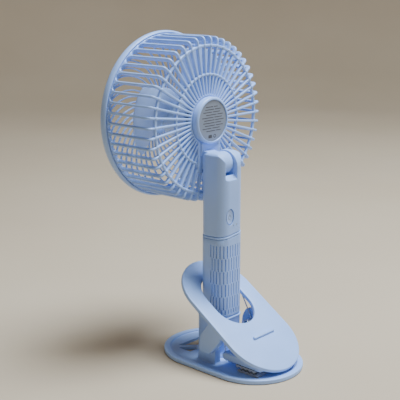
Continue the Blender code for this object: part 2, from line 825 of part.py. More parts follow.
def ridged_pad(name, u0, u1, half, place, look):
    """Rubber strip with ridges across it; place turns (across, along, height) into a point."""
    ridges = 6
    section = [(u0, 0.0)]
    for i in range(ridges):
        start = u0 + (u1 - u0) * i / ridges
        stop = u0 + (u1 - u0) * (i + 1) / ridges
        section.append((start + 0.2, 1.1))
        section.append(((start + stop) / 2, 2.0))
        section.append((stop - 0.2, 1.1))
    section.append((u1, 0.0))
    rings = []
    for x in (-half, half):
        rings.append([place(x, u, h) for u, h in section])
    return loft(name, rings, look)


def lower_pad(look):
    def place(x, u, h):
        return (x, u, BASE_FLOOR + 0.3 + h)

    return ridged_pad("lower_pad", 38.0, 58.5, 24.0, place, look)


def upper_pad(look):
    def place(x, u, h):
        return (x, u, JAW_Z[0] - 0.3 - h)

    return ridged_pad("upper_pad", 36.3, 56.8, 24.0, place, look)


def screw(name, x, z, look):
    """Small screw head on the neck plate."""
    return turned(name, [(1.9, -18.9), (1.9, -19.9), (1.2, -20.3)], look, 16, (x, z))


def pivot(name, place, parent=None):
    """Empty on a joint's axis; the pieces that move on that joint are its children."""
    made = bpy.data.objects.new(name, None)
    made.empty_display_size = 0.01
    bpy.context.collection.objects.link(made)
    made.location = Vector(place) * MM
    bpy.context.view_layer.update()
    if parent is not None:
        attach(made, parent)
    return made


def attach(child, parent):
    child.parent = parent
    child.matrix_parent_inverse = parent.matrix_world.inverted()
    bpy.context.view_layer.update()


def shade(item):
    """Round surfaces are smooth and the corners between them stay crisp."""
    item.data.shade_smooth()
    item.data.set_sharp_from_angle(angle=math.radians(34))


def build():
    clear_scene()
    shell = material("shell_plastic", SHELL, 0.38)
    rubber = material("grey_rubber", (0.34, 0.37, 0.42, 1.0), 0.7)
    dark = material("black_plastic", (0.05, 0.05, 0.055, 1.0), 0.5)
    steel = material("bright_steel", (0.72, 0.73, 0.75, 1.0), 0.25, 1.0)
    label = material("grey_label", (0.62, 0.60, 0.56, 1.0), 0.5)
    board = material("green_board", (0.05, 0.22, 0.12, 1.0), 0.5)
    wrap = material("blue_wrap", (0.08, 0.22, 0.55, 1.0), 0.35)
    copper = material("copper_winding", (0.72, 0.38, 0.20, 1.0), 0.35, 1.0)
    brass = material("brass_sleeve", (0.78, 0.60, 0.30, 1.0), 0.3, 1.0)
    lens = material("light_lens", (0.75, 0.85, 1.0, 1.0), 0.2)

    handle_pivot = pivot("handle_pivot", (0.0, 0.0, 0.0))
    lever_pivot = pivot("lever_pivot", (0.0, PIN_Y, PIN_Z))
    button_pivot = pivot("button_pivot", (BUTTON_X, 12.5, BUTTON_Z), handle_pivot)
    head_pivot = pivot("head_pivot", (0.0, 0.0, TILT_Z), handle_pivot)
    rotor_pivot = pivot("rotor_pivot", (0.0, -35.0, HEAD_Z), head_pivot)

    groups = {
        None: [
            base_plate(shell),
            handle_socket(shell),
            clip_pin("clip_pin_1", 1, steel),
            clip_pin("clip_pin_2", -1, steel),
            clip_spring("clip_spring_1", 1, steel),
            clip_spring("clip_spring_2", -1, steel),
            lower_pad(rubber),
        ],
        lever_pivot: [
            clip_lever(shell),
            upper_pad(rubber),
        ],
        handle_pivot: [
            grip(shell),
            foot_plug(shell),
            seam_band(shell),
            upper_shell(shell),
            battery_cell(wrap),
            battery_contact(steel),
            control_board(board),
            control_switch(dark),
            charge_port(steel),
            light_window("light_1", LIGHT_SPOTS[0], lens),
            light_window("light_2", LIGHT_SPOTS[1], lens),
            tilt_pin(steel),
        ],
        button_pivot: [
            power_button(shell),
        ],
        head_pivot: [
            rear_guard(shell),
            front_cover(shell),
            front_badge(shell),
            motor_cover(shell),
            rear_label(label),
            neck_bracket(shell),
            motor_mount(shell),
            motor_stator(copper),
            shaft_bearing(brass),
            screw("neck_screw_1", -9.0, 160.0, steel),
            screw("neck_screw_2", 8.0, 160.0, steel),
        ],
        rotor_pivot: [
            motor_shaft(steel),
            rotor_can(steel),
            impeller(shell),
        ],
    }
    for parent, pieces in groups.items():
        for piece in pieces:
            shade(piece)
            if parent is not None:
                attach(piece, parent)


build()
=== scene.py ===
import json
import math

import bmesh
import bpy
from mathutils import Matrix, Vector


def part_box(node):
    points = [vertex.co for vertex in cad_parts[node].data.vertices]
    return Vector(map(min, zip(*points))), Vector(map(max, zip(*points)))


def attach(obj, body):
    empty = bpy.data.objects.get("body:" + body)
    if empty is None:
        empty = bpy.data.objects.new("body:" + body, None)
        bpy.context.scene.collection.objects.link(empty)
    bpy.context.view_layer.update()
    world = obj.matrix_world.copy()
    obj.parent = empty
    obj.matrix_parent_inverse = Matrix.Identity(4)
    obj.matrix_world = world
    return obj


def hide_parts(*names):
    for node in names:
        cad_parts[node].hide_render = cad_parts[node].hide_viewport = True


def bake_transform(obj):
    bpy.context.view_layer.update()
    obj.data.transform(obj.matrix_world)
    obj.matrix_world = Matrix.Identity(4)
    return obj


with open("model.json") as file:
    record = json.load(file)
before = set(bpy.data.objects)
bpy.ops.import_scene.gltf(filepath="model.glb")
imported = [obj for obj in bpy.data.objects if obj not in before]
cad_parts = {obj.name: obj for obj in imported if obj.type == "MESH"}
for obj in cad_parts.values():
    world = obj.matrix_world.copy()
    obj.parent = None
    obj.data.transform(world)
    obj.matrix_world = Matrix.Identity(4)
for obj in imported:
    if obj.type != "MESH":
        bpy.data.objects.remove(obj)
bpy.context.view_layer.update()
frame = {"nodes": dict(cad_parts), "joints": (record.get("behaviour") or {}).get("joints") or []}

# Lengths in this script are in millimetres and become metres in add_piece().
MM = 0.001


def span(node):
    low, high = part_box(node)
    return low / MM, high / MM


def centre_of(node):
    """Centre of a node's box as seen along Y."""
    low, high = span(node)
    return (low.x + high.x) / 2, (low.z + high.z) / 2


JOINTS = {joint["name"]: joint for joint in frame["joints"]}
label_low, label_high = span("rear_label")
cover_low, cover_high = span("front_cover")
neck_low, neck_high = span("neck_bracket")
shell_high = span("upper_shell")[1]
grip_low, grip_high = span("grip")
base_low = span("base_plate")[0]
button_high = span("power_button")[1]

HEAD_Z = (label_low.z + label_high.z) / 2
RIM_R = (cover_high.z - cover_low.z) / 2
LABEL_R = (label_high.z - label_low.z) / 2
TILT_Z = JOINTS["head_tilt"]["pos_m"][2] / MM
PIN_Y = JOINTS["clip_open"]["pos_m"][1] / MM
PIN_Z = JOINTS["clip_open"]["pos_m"][2] / MM
REAR_Y = -14.8
CAGE_R = 66.9
RIBS = 50
RIB_WIDTH = 1.9
RIB_DEPTH = 3.4
RING_DEPTH = 2.5
BODY_HALF = shell_high.x
GRIP_HALF = grip_high.x
GRIP_BOTTOM = grip_low.z
BODY_CORNER = 8.0
SLOT_X = (-3.6, 9.0)
SLOT_FLOOR = 151.2
SEAM_Z = 104.5
SEAM_SLOPE = (-0.11, 0.045)
HUB_R = 18.9
FRONT_Y = cover_low.y + 3.3
FRONT_BARS = 40
BAR_SWEEP = math.radians(44)
BLADES = 3
BLADE_ROOT = 16.8
BLADE_TIP = 59.0
ARCH_R = 13.15
SHOULDER_R = 6.2
SLIT_PITCH = 1.5
SLIT_WIDTH = 0.72
SLIT_DEPTH = 1.3
SLIT_TALL = 10.9
SLIT_TOP = 97.5


# --- materials

def nodes_of(name):
    made = bpy.data.materials.new(name)
    made.use_nodes = True
    tree = made.node_tree
    return made, tree, tree.nodes["Principled BSDF"]


def noise(tree, scale, detail=3.0, stretch=None):
    coord = tree.nodes.new("ShaderNodeTexCoord")
    mapping = tree.nodes.new("ShaderNodeMapping")
    if stretch:
        mapping.inputs["Scale"].default_value = stretch
    tree.links.new(coord.outputs["Object"], mapping.inputs["Vector"])
    made = tree.nodes.new("ShaderNodeTexNoise")
    made.inputs["Scale"].default_value = scale
    made.inputs["Detail"].default_value = detail
    made.inputs["Roughness"].default_value = 0.55
    tree.links.new(mapping.outputs["Vector"], made.inputs["Vector"])
    return made


def tint(tree, shader, source, dark, light):
    """Base colour between two stops; dark and light are (place, colour)."""
    made = tree.nodes.new("ShaderNodeValToRGB")
    for point, (place, colour) in zip(made.color_ramp.elements, (dark, light)):
        point.position = place
        point.color = (*colour, 1.0)
    tree.links.new(source.outputs["Fac"], made.inputs["Fac"])
    tree.links.new(made.outputs["Color"], shader.inputs["Base Color"])


def gloss(tree, shader, scale, low, high):
    """Patchy roughness between low and high."""
    made = tree.nodes.new("ShaderNodeMapRange")
    for name, value in (("From Min", 0.3), ("From Max", 0.7), ("To Min", low), ("To Max", high)):
        made.inputs[name].default_value = value
    patch = noise(tree, scale)
    tree.links.new(patch.outputs["Fac"], made.inputs["Value"])
    tree.links.new(made.outputs["Result"], shader.inputs["Roughness"])


def bump(tree, shader, heights):
    """heights is a list of (node, strength, distance in metres)."""
    last = None
    for source, strength, distance in heights:
        made = tree.nodes.new("ShaderNodeBump")
        made.inputs["Strength"].default_value = strength
        made.inputs["Distance"].default_value = distance
        tree.links.new(source.outputs["Fac"], made.inputs["Height"])
        if last:
            tree.links.new(last.outputs["Normal"], made.inputs["Normal"])
        last = made
    tree.links.new(last.outputs["Normal"], shader.inputs["Normal"])


def plastic(name, tone, roughness, grain=0.25, flow=0.0, spread_by=0.03, soft=0.0):
    """Moulded plastic: cloudy colour, a fine spark-eroded grain, and uneven gloss."""
    made, tree, shader = nodes_of(name)
    cloud = noise(tree, 38.0, 4.0)
    dark = tuple(c * (1 - spread_by) for c in tone)
    light = tuple(min(1.0, c * (1 + spread_by)) for c in tone)
    tint(tree, shader, cloud, (0.3, dark), (0.7, light))
    gloss(tree, shader, 95.0, roughness - 0.05, roughness + 0.06)
    fine = noise(tree, 2600.0, 2.0)
    wave = noise(tree, 55.0, 2.0)
    heights = [(wave, 0.12, 0.0006), (fine, grain, 0.00004)]
    if flow:
        lines = noise(tree, 300.0, 3.0, (1.0, 1.0, 0.05))
        heights.append((lines, flow, 0.00008))
    bump(tree, shader, heights)
    shader.inputs["IOR"].default_value = 1.5
    if soft:
        shader.inputs["Subsurface Weight"].default_value = soft
        shader.inputs["Subsurface Radius"].default_value = (0.004, 0.005, 0.006)
        shader.inputs["Subsurface Scale"].default_value = 0.4
    return made


def metal(name, tone, roughness, stretch=(1.0, 1.0, 1.0), strength=0.2):
    made, tree, shader = nodes_of(name)
    grain = noise(tree, 900.0, 4.0, stretch)
    dark = tuple(c * 0.86 for c in tone)
    tint(tree, shader, grain, (0.3, dark), (0.72, tone))
    gloss(tree, shader, 210.0, roughness - 0.06, roughness + 0.1)
    bump(tree, shader, [(grain, strength, 0.00003)])
    shader.inputs["Metallic"].default_value = 1.0
    return made


def striped(name, dark, light, scale, axis, roughness, metallic=0.0, strength=0.6):
    """Even bands across an axis, such as wire turns or pressed ridges."""
    made, tree, shader = nodes_of(name)
    coord = tree.nodes.new("ShaderNodeTexCoord")
    wave = tree.nodes.new("ShaderNodeTexWave")
    wave.wave_type = "BANDS"
    wave.bands_direction = axis
    wave.inputs["Scale"].default_value = scale
    wave.inputs["Distortion"].default_value = 0.6
    wave.inputs["Detail"].default_value = 2.0
    tree.links.new(coord.outputs["Object"], wave.inputs["Vector"])
    tint(tree, shader, wave, (0.2, dark), (0.8, light))
    gloss(tree, shader, 160.0, roughness - 0.06, roughness + 0.08)
    bump(tree, shader, [(wave, strength, 0.0001)])
    shader.inputs["Metallic"].default_value = metallic
    return made


def floor_look():
    made, tree, shader = nodes_of("floor_paper")
    cloud = noise(tree, 2.2, 3.0)
    tint(tree, shader, cloud, (0.3, (0.50, 0.40, 0.28)), (0.7, (0.54, 0.44, 0.32)))
    fibre = noise(tree, 420.0, 4.0)
    bump(tree, shader, [(fibre, 0.08, 0.0003)])
    shader.inputs["Roughness"].default_value = 0.85
    return made


TONE = (0.34, 0.52, 0.94)
SHELL = plastic("shell_satin", TONE, 0.36, grain=0.22, soft=0.03)
GRIP = plastic("grip_satin", tuple(c * 0.97 for c in TONE), 0.42, grain=0.4, soft=0.04)
# The fan wheel's blue is its own plastic tone, made lighter than the shell as painted light for the light
# falling on the blades through the cage.
BLADE = plastic("blade_satin_painted_light", (0.50, 0.67, 1.0), 0.34, grain=0.12, soft=0.08)
KEY = plastic("key_satin", (0.34, 0.50, 0.88), 0.3, grain=0.2)
LABEL = plastic("label_film", (0.22, 0.26, 0.34), 0.5, grain=0.35, spread_by=0.05)
INK = plastic("label_ink", (0.07, 0.07, 0.08), 0.6, grain=0.3, spread_by=0.12)
MARK = plastic("mark_grey", (0.34, 0.40, 0.50), 0.45, grain=0.2, spread_by=0.06)
RUBBER = plastic("pad_rubber", (0.36, 0.43, 0.54), 0.7, grain=0.6, spread_by=0.08)
SWITCH = plastic("switch_black", (0.03, 0.03, 0.033), 0.45, grain=0.3, spread_by=0.1)
LENS = plastic("lens_clear", (0.66, 0.80, 0.96), 0.12, grain=0.03, soft=0.3)
WRAP = plastic("cell_film", (0.05, 0.16, 0.45), 0.3, grain=0.15, flow=0.3, spread_by=0.08)
STEEL = metal("drawn_steel", (0.62, 0.63, 0.65), 0.26)
CAN = metal("pressed_can", (0.55, 0.56, 0.58), 0.3, (1.0, 0.08, 1.0), 0.3)
BRASS = metal("sleeve_brass", (0.70, 0.50, 0.22), 0.34)
COPPER = striped("copper_turns", (0.30, 0.11, 0.05), (0.80, 0.40, 0.22), 900.0, "Y", 0.35, 1.0)
BOARD = striped("board_mask", (0.015, 0.09, 0.04), (0.03, 0.16, 0.07), 260.0, "Z", 0.35, 0.0, 0.2)


# --- mesh tools

def circle(radius, count, phase=0.0):
    step = 2 * math.pi / count
    return [(radius * math.cos(phase + i * step), radius * math.sin(phase + i * step)) for i in range(count)]


def squircle(half, corner, steps=12):
    return round_rect(2 * half, 2 * half, corner, steps)


def on_axis(axis, a, b, along):
    """Point at along on the axis; a and b are its other two coordinates, in order."""
    return {"x": (along, a, b), "y": (a, along, b)}.get(axis, (a, b, along))


def capsule(radius_a, centre_a, radius_b, centre_b, inset=0.0, count=144):
    """Outline round two circles on one line, as (across, along) points."""
    ra = radius_a - inset
    rb = radius_b - inset
    lean = math.asin((radius_a - radius_b) / (centre_b - centre_a))
    half = count // 2
    points = []
    for i in range(half):
        angle = lean + (math.pi - 2 * lean) * i / (half - 1)
        points.append((rb * math.cos(angle), centre_b + rb * math.sin(angle)))
    for i in range(half):
        angle = math.pi - lean + (math.pi + 2 * lean) * i / (half - 1)
        points.append((ra * math.cos(angle), centre_a + ra * math.sin(angle)))
    return points


def round_rect(width, height, radius, steps=3):
    points = []
    for quarter, (sx, sy) in enumerate(((1, 1), (-1, 1), (-1, -1), (1, -1))):
        for i in range(steps + 1):
            angle = math.pi / 2 * (quarter + i / steps)
            x = sx * (width / 2 - radius) + radius * math.cos(angle)
            y = sy * (height / 2 - radius) + radius * math.sin(angle)
            points.append((x, y))
    return points


def round_polygon(corners, radius, steps=4):
    """Outline of straight runs whose corners are eased by a curve; radius may be a list."""
    points = []
    count = len(corners)
    for i, corner in enumerate(corners):
        here = Vector(corner)
        before = Vector(corners[i - 1])
        after = Vector(corners[(i + 1) % count])
        r = radius[i] if isinstance(radius, (list, tuple)) else radius
        if r <= 0:
            points.append(tuple(here))
            continue
        back = min(r, (before - here).length * 0.48)
        ahead = min(r, (after - here).length * 0.48)
        p0 = here + (before - here).normalized() * back
        p2 = here + (after - here).normalized() * ahead
        for k in range(steps + 1):
            t = k / steps
            points.append(tuple(p0 * (1 - t) ** 2 + here * 2 * t * (1 - t) + p2 * t ** 2))
    return points


def quarter_round(radius, steps=4):
    """(inset, drop) pairs from a flat top round to an upright side."""
    pairs = []
    for i in range(steps + 1):
        angle = math.pi / 2 * i / steps
        pairs.append((radius * (1 - math.sin(angle)), radius * (1 - math.cos(angle))))
    return pairs


class Shape:
    """Collects closed shells into one mesh."""

    def __init__(self):
        self.verts = []
        self.faces = []

    def add(self, verts, faces):
        shift = len(self.verts)
        self.verts.extend(verts)
        self.faces.extend([tuple(i + shift for i in face) for face in faces])

    def loft(self, rings, closed=False):
        count = len(rings[0])
        verts = [point for ring in rings for point in ring]
        faces = []
        steps = len(rings) if closed else len(rings) - 1
        for row in range(steps):
            low = row * count
            high = ((row + 1) % len(rings)) * count
            for i in range(count):
                j = (i + 1) % count
                faces.append((low + i, low + j, high + j, high + i))
        if not closed:
            faces.append(tuple(reversed(range(count))))
            last = (len(rings) - 1) * count
            faces.append(tuple(last + i for i in range(count)))
        self.add(verts, faces)

    def turned(self, profile, count=96, centre=None, start=0.0, stop=2 * math.pi):
        """profile is (radius, along) pairs of a closed outline, turned about the fan's axis."""
        middle = centre or (0.0, HEAD_Z)
        full = abs(stop - start - 2 * math.pi) < 1e-6
        rings = []
        for k in range(count if full else count + 1):
            angle = start + (stop - start) * k / count
            c = math.cos(angle)
            s = math.sin(angle)
            rings.append([(middle[0] + r * c, y, middle[1] + r * s) for r, y in profile])
        self.loft(rings, closed=full)

    def lathe(self, profile, count=96, centre=None, axis="y"):
        """profile is (radius, along) pairs of an open outline; both ends are capped."""
        middle = centre or (0.0, HEAD_Z)
        rings = []
        for r, along in profile:
            rings.append([on_axis(axis, middle[0] + a, middle[1] + b, along) for a, b in circle(r, count)])
        self.loft(rings)

    def prism(self, outline, low, high, axis, ease=0.0):
        """An outline stretched along an axis, its two ends rounded over by ease."""
        layers = [(0.0, low), (0.0, high)]
        if ease:
            layers = [(inset, low + drop) for inset, drop in quarter_round(ease, 3)]
            layers += [(inset, high - drop) for inset, drop in reversed(quarter_round(ease, 3))]
        rings = []
        for inset, along in layers:
            rings.append([on_axis(axis, a, b, along) for a, b in inset_outline(outline, inset)])
        self.loft(rings)

    def pair(self, outline, near, far, ease):
        """The same plate on both sides of the middle, from near to far along X."""
        for sign in (-1, 1):
            low, high = sorted((sign * near, sign * far))
            self.prism(outline, low, high, "x", ease)


def inset_outline(outline, inset):
    """Moves each point of a closed outline inwards along the mean of its two edges' normals."""
    if inset <= 0:
        return list(outline)
    area = 0.0
    count = len(outline)
    for i in range(count):
        x0, y0 = outline[i]
        x1, y1 = outline[(i + 1) % count]
        area += x0 * y1 - x1 * y0
    turn = 1.0 if area > 0 else -1.0
    moved = []
    for i in range(count):
        here = Vector(outline[i])
        k = i - 1
        while (here - Vector(outline[k])).length < 1e-6:
            k -= 1
        j = (i + 1) % count
        while (here - Vector(outline[j])).length < 1e-6:
            j = (j + 1) % count
        a = (here - Vector(outline[k])).normalized()
        b = (Vector(outline[j]) - here).normalized()
        na = Vector((-a.y, a.x)) * turn
        nb = Vector((-b.y, b.x)) * turn
        mean = na + nb
        scale = 2.0 / max(mean.length_squared, 0.6)
        moved.append(tuple(here + mean * scale * inset))
    return moved


def mesh_from(name, shape):
    mesh = bpy.data.meshes.new(name)
    mesh.from_pydata([(x * MM, y * MM, z * MM) for x, y, z in shape.verts], [], shape.faces)
    tool = bmesh.new()
    tool.from_mesh(mesh)
    bmesh.ops.remove_doubles(tool, verts=tool.verts, dist=1e-7)
    bmesh.ops.dissolve_degenerate(tool, edges=tool.edges, dist=1e-8)
    bmesh.ops.recalc_face_normals(tool, faces=tool.faces)
    tool.to_mesh(mesh)
    tool.free()
    return mesh


def shade(mesh, angle):
    mesh.shade_smooth()
    mesh.set_sharp_from_angle(angle=math.radians(angle))


def new_object(name, data):
    made = bpy.data.objects.new(name, data)
    bpy.context.scene.collection.objects.link(made)
    return made


def add_piece(name, shape, look, body, nodes=(), angle=36.0):
    """A finished piece that rides on a CAD body and stands for the CAD nodes named."""
    mesh = mesh_from(name, shape) if isinstance(shape, Shape) else shape
    mesh.name = name
    mesh.materials.clear()
    mesh.materials.append(look)
    shade(mesh, angle)
    made = new_object(name, mesh)
    if body:
        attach(made, body)
    if nodes:
        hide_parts(*nodes)
    return made


def loose(name, shape):
    return new_object(name, mesh_from(name, shape))


def carve(item, steps):
    """Applies Booleans to a loose object, in order, and removes their tools; steps is (tool, operation)."""
    for tool, operation in steps:
        cut = item.modifiers.new("cut", "BOOLEAN")
        cut.operation = operation
        cut.solver = "EXACT"
        cut.object = tool
        bake(item)
        bpy.data.objects.remove(tool, do_unlink=True)


def bake(item):
    bpy.context.view_layer.update()
    graph = bpy.context.evaluated_depsgraph_get()
    result = bpy.data.meshes.new_from_object(item.evaluated_get(graph))
    item.modifiers.clear()
    item.data = result


def take_mesh(item):
    mesh = item.data
    bpy.data.objects.remove(item, do_unlink=True)
    return mesh


def soften(item, voxel, rounds):
    """Turns a carved solid into an even skin and lets its corners round over."""
    skin = item.modifiers.new("skin", "REMESH")
    skin.mode = "VOXEL"
    skin.voxel_size = voxel * MM
    skin.adaptivity = 0.0
    ease = item.modifiers.new("ease", "SMOOTH")
    ease.factor = 0.5
    ease.iterations = rounds
    bake(item)


# --- fan head

def corner_path(far, corner, near, reach, steps=7):
    """Points from far to near that turn at corner on an eased curve."""
    a = Vector(far)
    b = Vector(corner)
    c = Vector(near)
    p0 = b + (a - b).normalized() * reach
    p2 = b + (c - b).normalized() * reach
    points = [a]
    for k in range(1, 5):
        points.append(a.lerp(p0, k / 5))
    for k in range(steps + 1):
        t = k / steps
        points.append(p0 * (1 - t) ** 2 + b * 2 * t * (1 - t) + p2 * t ** 2)
    points.append(c)
    return points


def rib_reach(angle):
    """Radius at which a rib stops: at the hub ring, or earlier where it meets the neck plate."""
    inner = 20.2
    s = math.sin(angle)
    c = math.cos(angle)
    if s >= 0:
        return inner
    foot = (HEAD_Z - neck_low.z) / -s
    if neck_low.x < foot * c < neck_high.x:
        return foot
    side = neck_high.x / c if c > 0 else neck_low.x / c
    if side * -s > 14.4 and side < foot:
        return max(side, inner)
    return inner


def cage():
    """Ribbed drum and rear face: round-edged ribs, three rings, beads where they cross, scalloped collar."""
    shape = Shape()
    half = RIB_DEPTH / 2
    rear = REAR_Y - half
    section = round_rect(RIB_WIDTH, RIB_DEPTH, 0.72)
    flat_section = round_rect(RIB_WIDTH * 0.98, RIB_DEPTH, 0.55)
    for k in range(RIBS):
        angle = 2 * math.pi * k / RIBS
        c = math.cos(angle)
        s = math.sin(angle)
        end = rib_reach(angle)
        path = corner_path((CAGE_R - half, -63.4), (CAGE_R - 0.05 - half, rear), (end, rear), 2.6)
        rings = []
        for i, point in enumerate(path):
            before = path[max(i - 1, 0)]
            after = path[min(i + 1, len(path) - 1)]
            run = (after - before).normalized()
            normal = Vector((-run.y, run.x))
            ring = []
            for across, deep in (section if i < len(path) - 1 else flat_section):
                spot = point + normal * deep
                ring.append((spot.x * c - across * s, spot.y, HEAD_Z + spot.x * s + across * c))
            rings.append(ring)
        shape.loft(rings)
    for radius, width, sink in ((59.2, 2.1, 0.25), (36.45, 2.0, 0.2), (20.05, 1.7, 0.1)):
        level = REAR_Y - sink - RING_DEPTH / 2
        outline = [(radius + a, level + b) for a, b in round_rect(width, RING_DEPTH, 0.6)]
        if radius > 41.0:
            shape.turned(outline, 150)
            continue
        start = -math.acos(min(1.0, (neck_high.x - 0.2) / radius))
        stop = math.pi + math.acos(min(1.0, -(neck_low.x + 0.2) / radius))
        shape.turned(outline, 120, start=start, stop=stop)
    for radius, size in ((59.3, 1.4), (36.45, 1.25)):
        for k in range(RIBS):
            angle = 2 * math.pi * k / RIBS
            if rib_reach(angle) > radius - 1:
                continue
            centre = (radius * math.cos(angle), HEAD_Z + radius * math.sin(angle))
            dome = [(size, REAR_Y - 1.0)]
            for i in range(4):
                lift = math.pi / 2 * i / 4
                dome.append((size * math.cos(lift), REAR_Y - 0.15 + 0.6 * math.sin(lift)))
            shape.lathe(dome, 12, centre)
    collar(shape)
    add_piece("cage", shape, SHELL, "head", ["rear_guard"], angle=42)


def collar(shape):
    """Ring in front of the drum's slots; each slot ends in it as a half circle."""
    outer = CAGE_R
    inner = outer - RIB_DEPTH
    pitch = 2 * math.pi / RIBS
    gap = pitch * outer - RIB_WIDTH + 0.5
    columns = []
    for k in range(RIBS):
        middle = pitch * (k + 0.5)
        for i in range(13):
            s = math.sin(math.pi * (i / 12 - 0.5)) * gap / 2
            rise = gap / 2 - math.sqrt(max((gap / 2) ** 2 - s * s, 0.0))
            columns.append((middle + s / outer, -61.3 + rise))
    verts = []
    faces = []
    for angle, edge in columns:
        c = math.cos(angle)
        s = math.sin(angle)
        taper = (edge + 61.0) * 0.012
        rows = (
            (outer, -64.0),
            (outer, -62.5),
            (outer - taper, edge - 0.35),
            (outer - taper - 0.35, edge),
            (inner - taper + 0.35, edge),
            (inner - taper, edge - 0.35),
            (inner, -62.5),
            (inner, -64.0),
        )
        for radius, y in rows:
            verts.append((radius * c, y, HEAD_Z + radius * s))
    total = len(columns)
    for i in range(total):
        j = (i + 1) % total
        for row in range(8):
            nxt = (row + 1) % 8
            faces.append((i * 8 + row, j * 8 + row, j * 8 + nxt, i * 8 + nxt))
    shape.add(verts, faces)


def front_cover():
    """Rounded rim, swirling bars and the plate in the middle."""
    shape = Shape()
    r = RIM_R
    f = FRONT_Y
    rim = [
        (r - 1.5, -61.6), (r - 0.9, -61.75), (r - 0.45, -62.2), (r - 0.25, -62.9), (r - 0.05, -63.8),
        (r, f + 3.6), (r - 0.15, f + 2.5), (r - 0.55, f + 1.3), (r - 1.2, f + 0.4), (r - 2.2, f - 0.2),
        (r - 3.6, f - 0.55), (r - 5.0, f - 0.6), (r - 5.8, f - 0.3), (r - 5.95, f + 0.3), (r - 5.5, f + 0.9),
        (r - 4.0, f + 1.3), (r - 2.9, f + 2.0), (r - 2.3, f + 3.0), (r - 1.95, f + 4.2), (r - 1.9, -62.2),
    ]
    shape.turned(rim, 180)
    section = round_rect(1.15, 2.0, 0.5)
    steps = 14
    for k in range(FRONT_BARS):
        rings = []
        spots = []
        for i in range(steps + 1):
            share = i / steps
            radius = r - 5.4 + (16.0 - r + 5.4) * share
            y = f + 0.4 - 2.6 * math.sin(share * math.pi / 2)
            angle = 2 * math.pi * k / FRONT_BARS + BAR_SWEEP * share ** 0.8
            spots.append(Vector((radius * math.cos(angle), y, HEAD_Z + radius * math.sin(angle))))
        for i, spot in enumerate(spots):
            run = (spots[min(i + 1, steps)] - spots[max(i - 1, 0)]).normalized()
            side = run.cross(Vector((0, 1, 0))).normalized()
            deep = side.cross(run).normalized()
            rings.append([tuple(spot + side * a + deep * b) for a, b in section])
        shape.loft(rings)
    plate = [
        (12.9, f - 1.4), (12.9, f - 3.0), (13.3, f - 3.3), (15.6, f - 3.25), (16.9, f - 2.9), (17.4, f - 2.2),
        (17.2, f - 1.4), (16.4, f - 1.1), (13.4, f - 1.1),
    ]
    shape.turned(plate, 96)
    add_piece("front_grille", shape, SHELL, "head", ["front_cover"])


def badge():
    """Plain domed disc with two shallow turned grooves."""
    shape = Shape()
    f = FRONT_Y
    profile = [(12.5, f - 1.3), (12.6, f - 3.2), (12.3, f - 3.65), (11.6, f - 3.9), (10.9, f - 3.95)]
    profile += [(10.6, f - 3.75), (10.3, f - 4.0), (8.0, f - 4.35), (5.6, f - 4.6), (5.3, f - 4.45)]
    profile += [(5.0, f - 4.68), (2.5, f - 4.8), (0.6, f - 4.85)]
    shape.lathe(profile, 96)
    add_piece("front_disc", shape, KEY, "head", ["front_badge"])


def hub():
    """Round boss on the rear face, with a step round the label."""
    shape = Shape()
    face = label_high.y + 0.7
    floor = label_low.y - 0.15
    profile = [
        (LABEL_R + 0.25, floor), (LABEL_R + 0.25, face - 0.25), (LABEL_R + 0.45, face),
        (HUB_R - 1.5, face), (HUB_R - 0.95, face - 0.15), (HUB_R - 0.45, face - 0.5),
        (HUB_R - 0.12, face - 1.0), (HUB_R, face - 1.7), (HUB_R, -19.0), (HUB_R - 2.0, -19.0),
        (HUB_R - 2.0, floor - 1.6), (1.0, floor - 1.6), (1.0, floor),
    ]
    shape.turned(profile, 120)
    add_piece("rear_hub", shape, SHELL, "head", ["motor_cover"])


def label():
    """Film disc with plain grey bars in place of print."""
    disc = Shape()
    y = label_high.y
    disc.lathe([(LABEL_R, label_low.y), (LABEL_R, y - 0.08), (LABEL_R - 0.08, y), (0.5, y)], 96)
    add_piece("rear_film", disc, LABEL, "head", ["rear_label"])
    bars = Shape()
    widths = (0.62, 0.86, 0.70, 0.92, 0.80, 0.95, 0.74, 0.90, 0.66, 0.82)
    for row, share in enumerate(widths):
        z = 11.2 - row * 2.15
        room = math.sqrt(LABEL_R ** 2 - z ** 2) - 2.0
        left = -room * share
        right = room * widths[(row * 3 + 1) % len(widths)]
        cuts = [left, left + (right - left) * (0.36 + 0.05 * (row % 3)), right]
        for a, b in zip(cuts, cuts[1:]):
            outline = [(px + (a + b) / 2, HEAD_Z + z + pz) for px, pz in round_rect(b - a - 0.9, 0.62, 0.28)]
            bars.prism(outline, y - 0.05, y + 0.06, "y")
    block = [(px + 3.0, HEAD_Z - 12.6 + pz) for px, pz in round_rect(4.2, 2.6, 0.5)]
    bars.prism(block, y - 0.05, y + 0.06, "y")
    ring = [(0.9, y - 0.05), (1.5, y - 0.05), (1.5, y + 0.06), (0.9, y + 0.06)]
    bars.turned(ring, 28, centre=(-2.4, HEAD_Z - 12.6))
    add_piece("film_bars", bars, INK, "head", ())


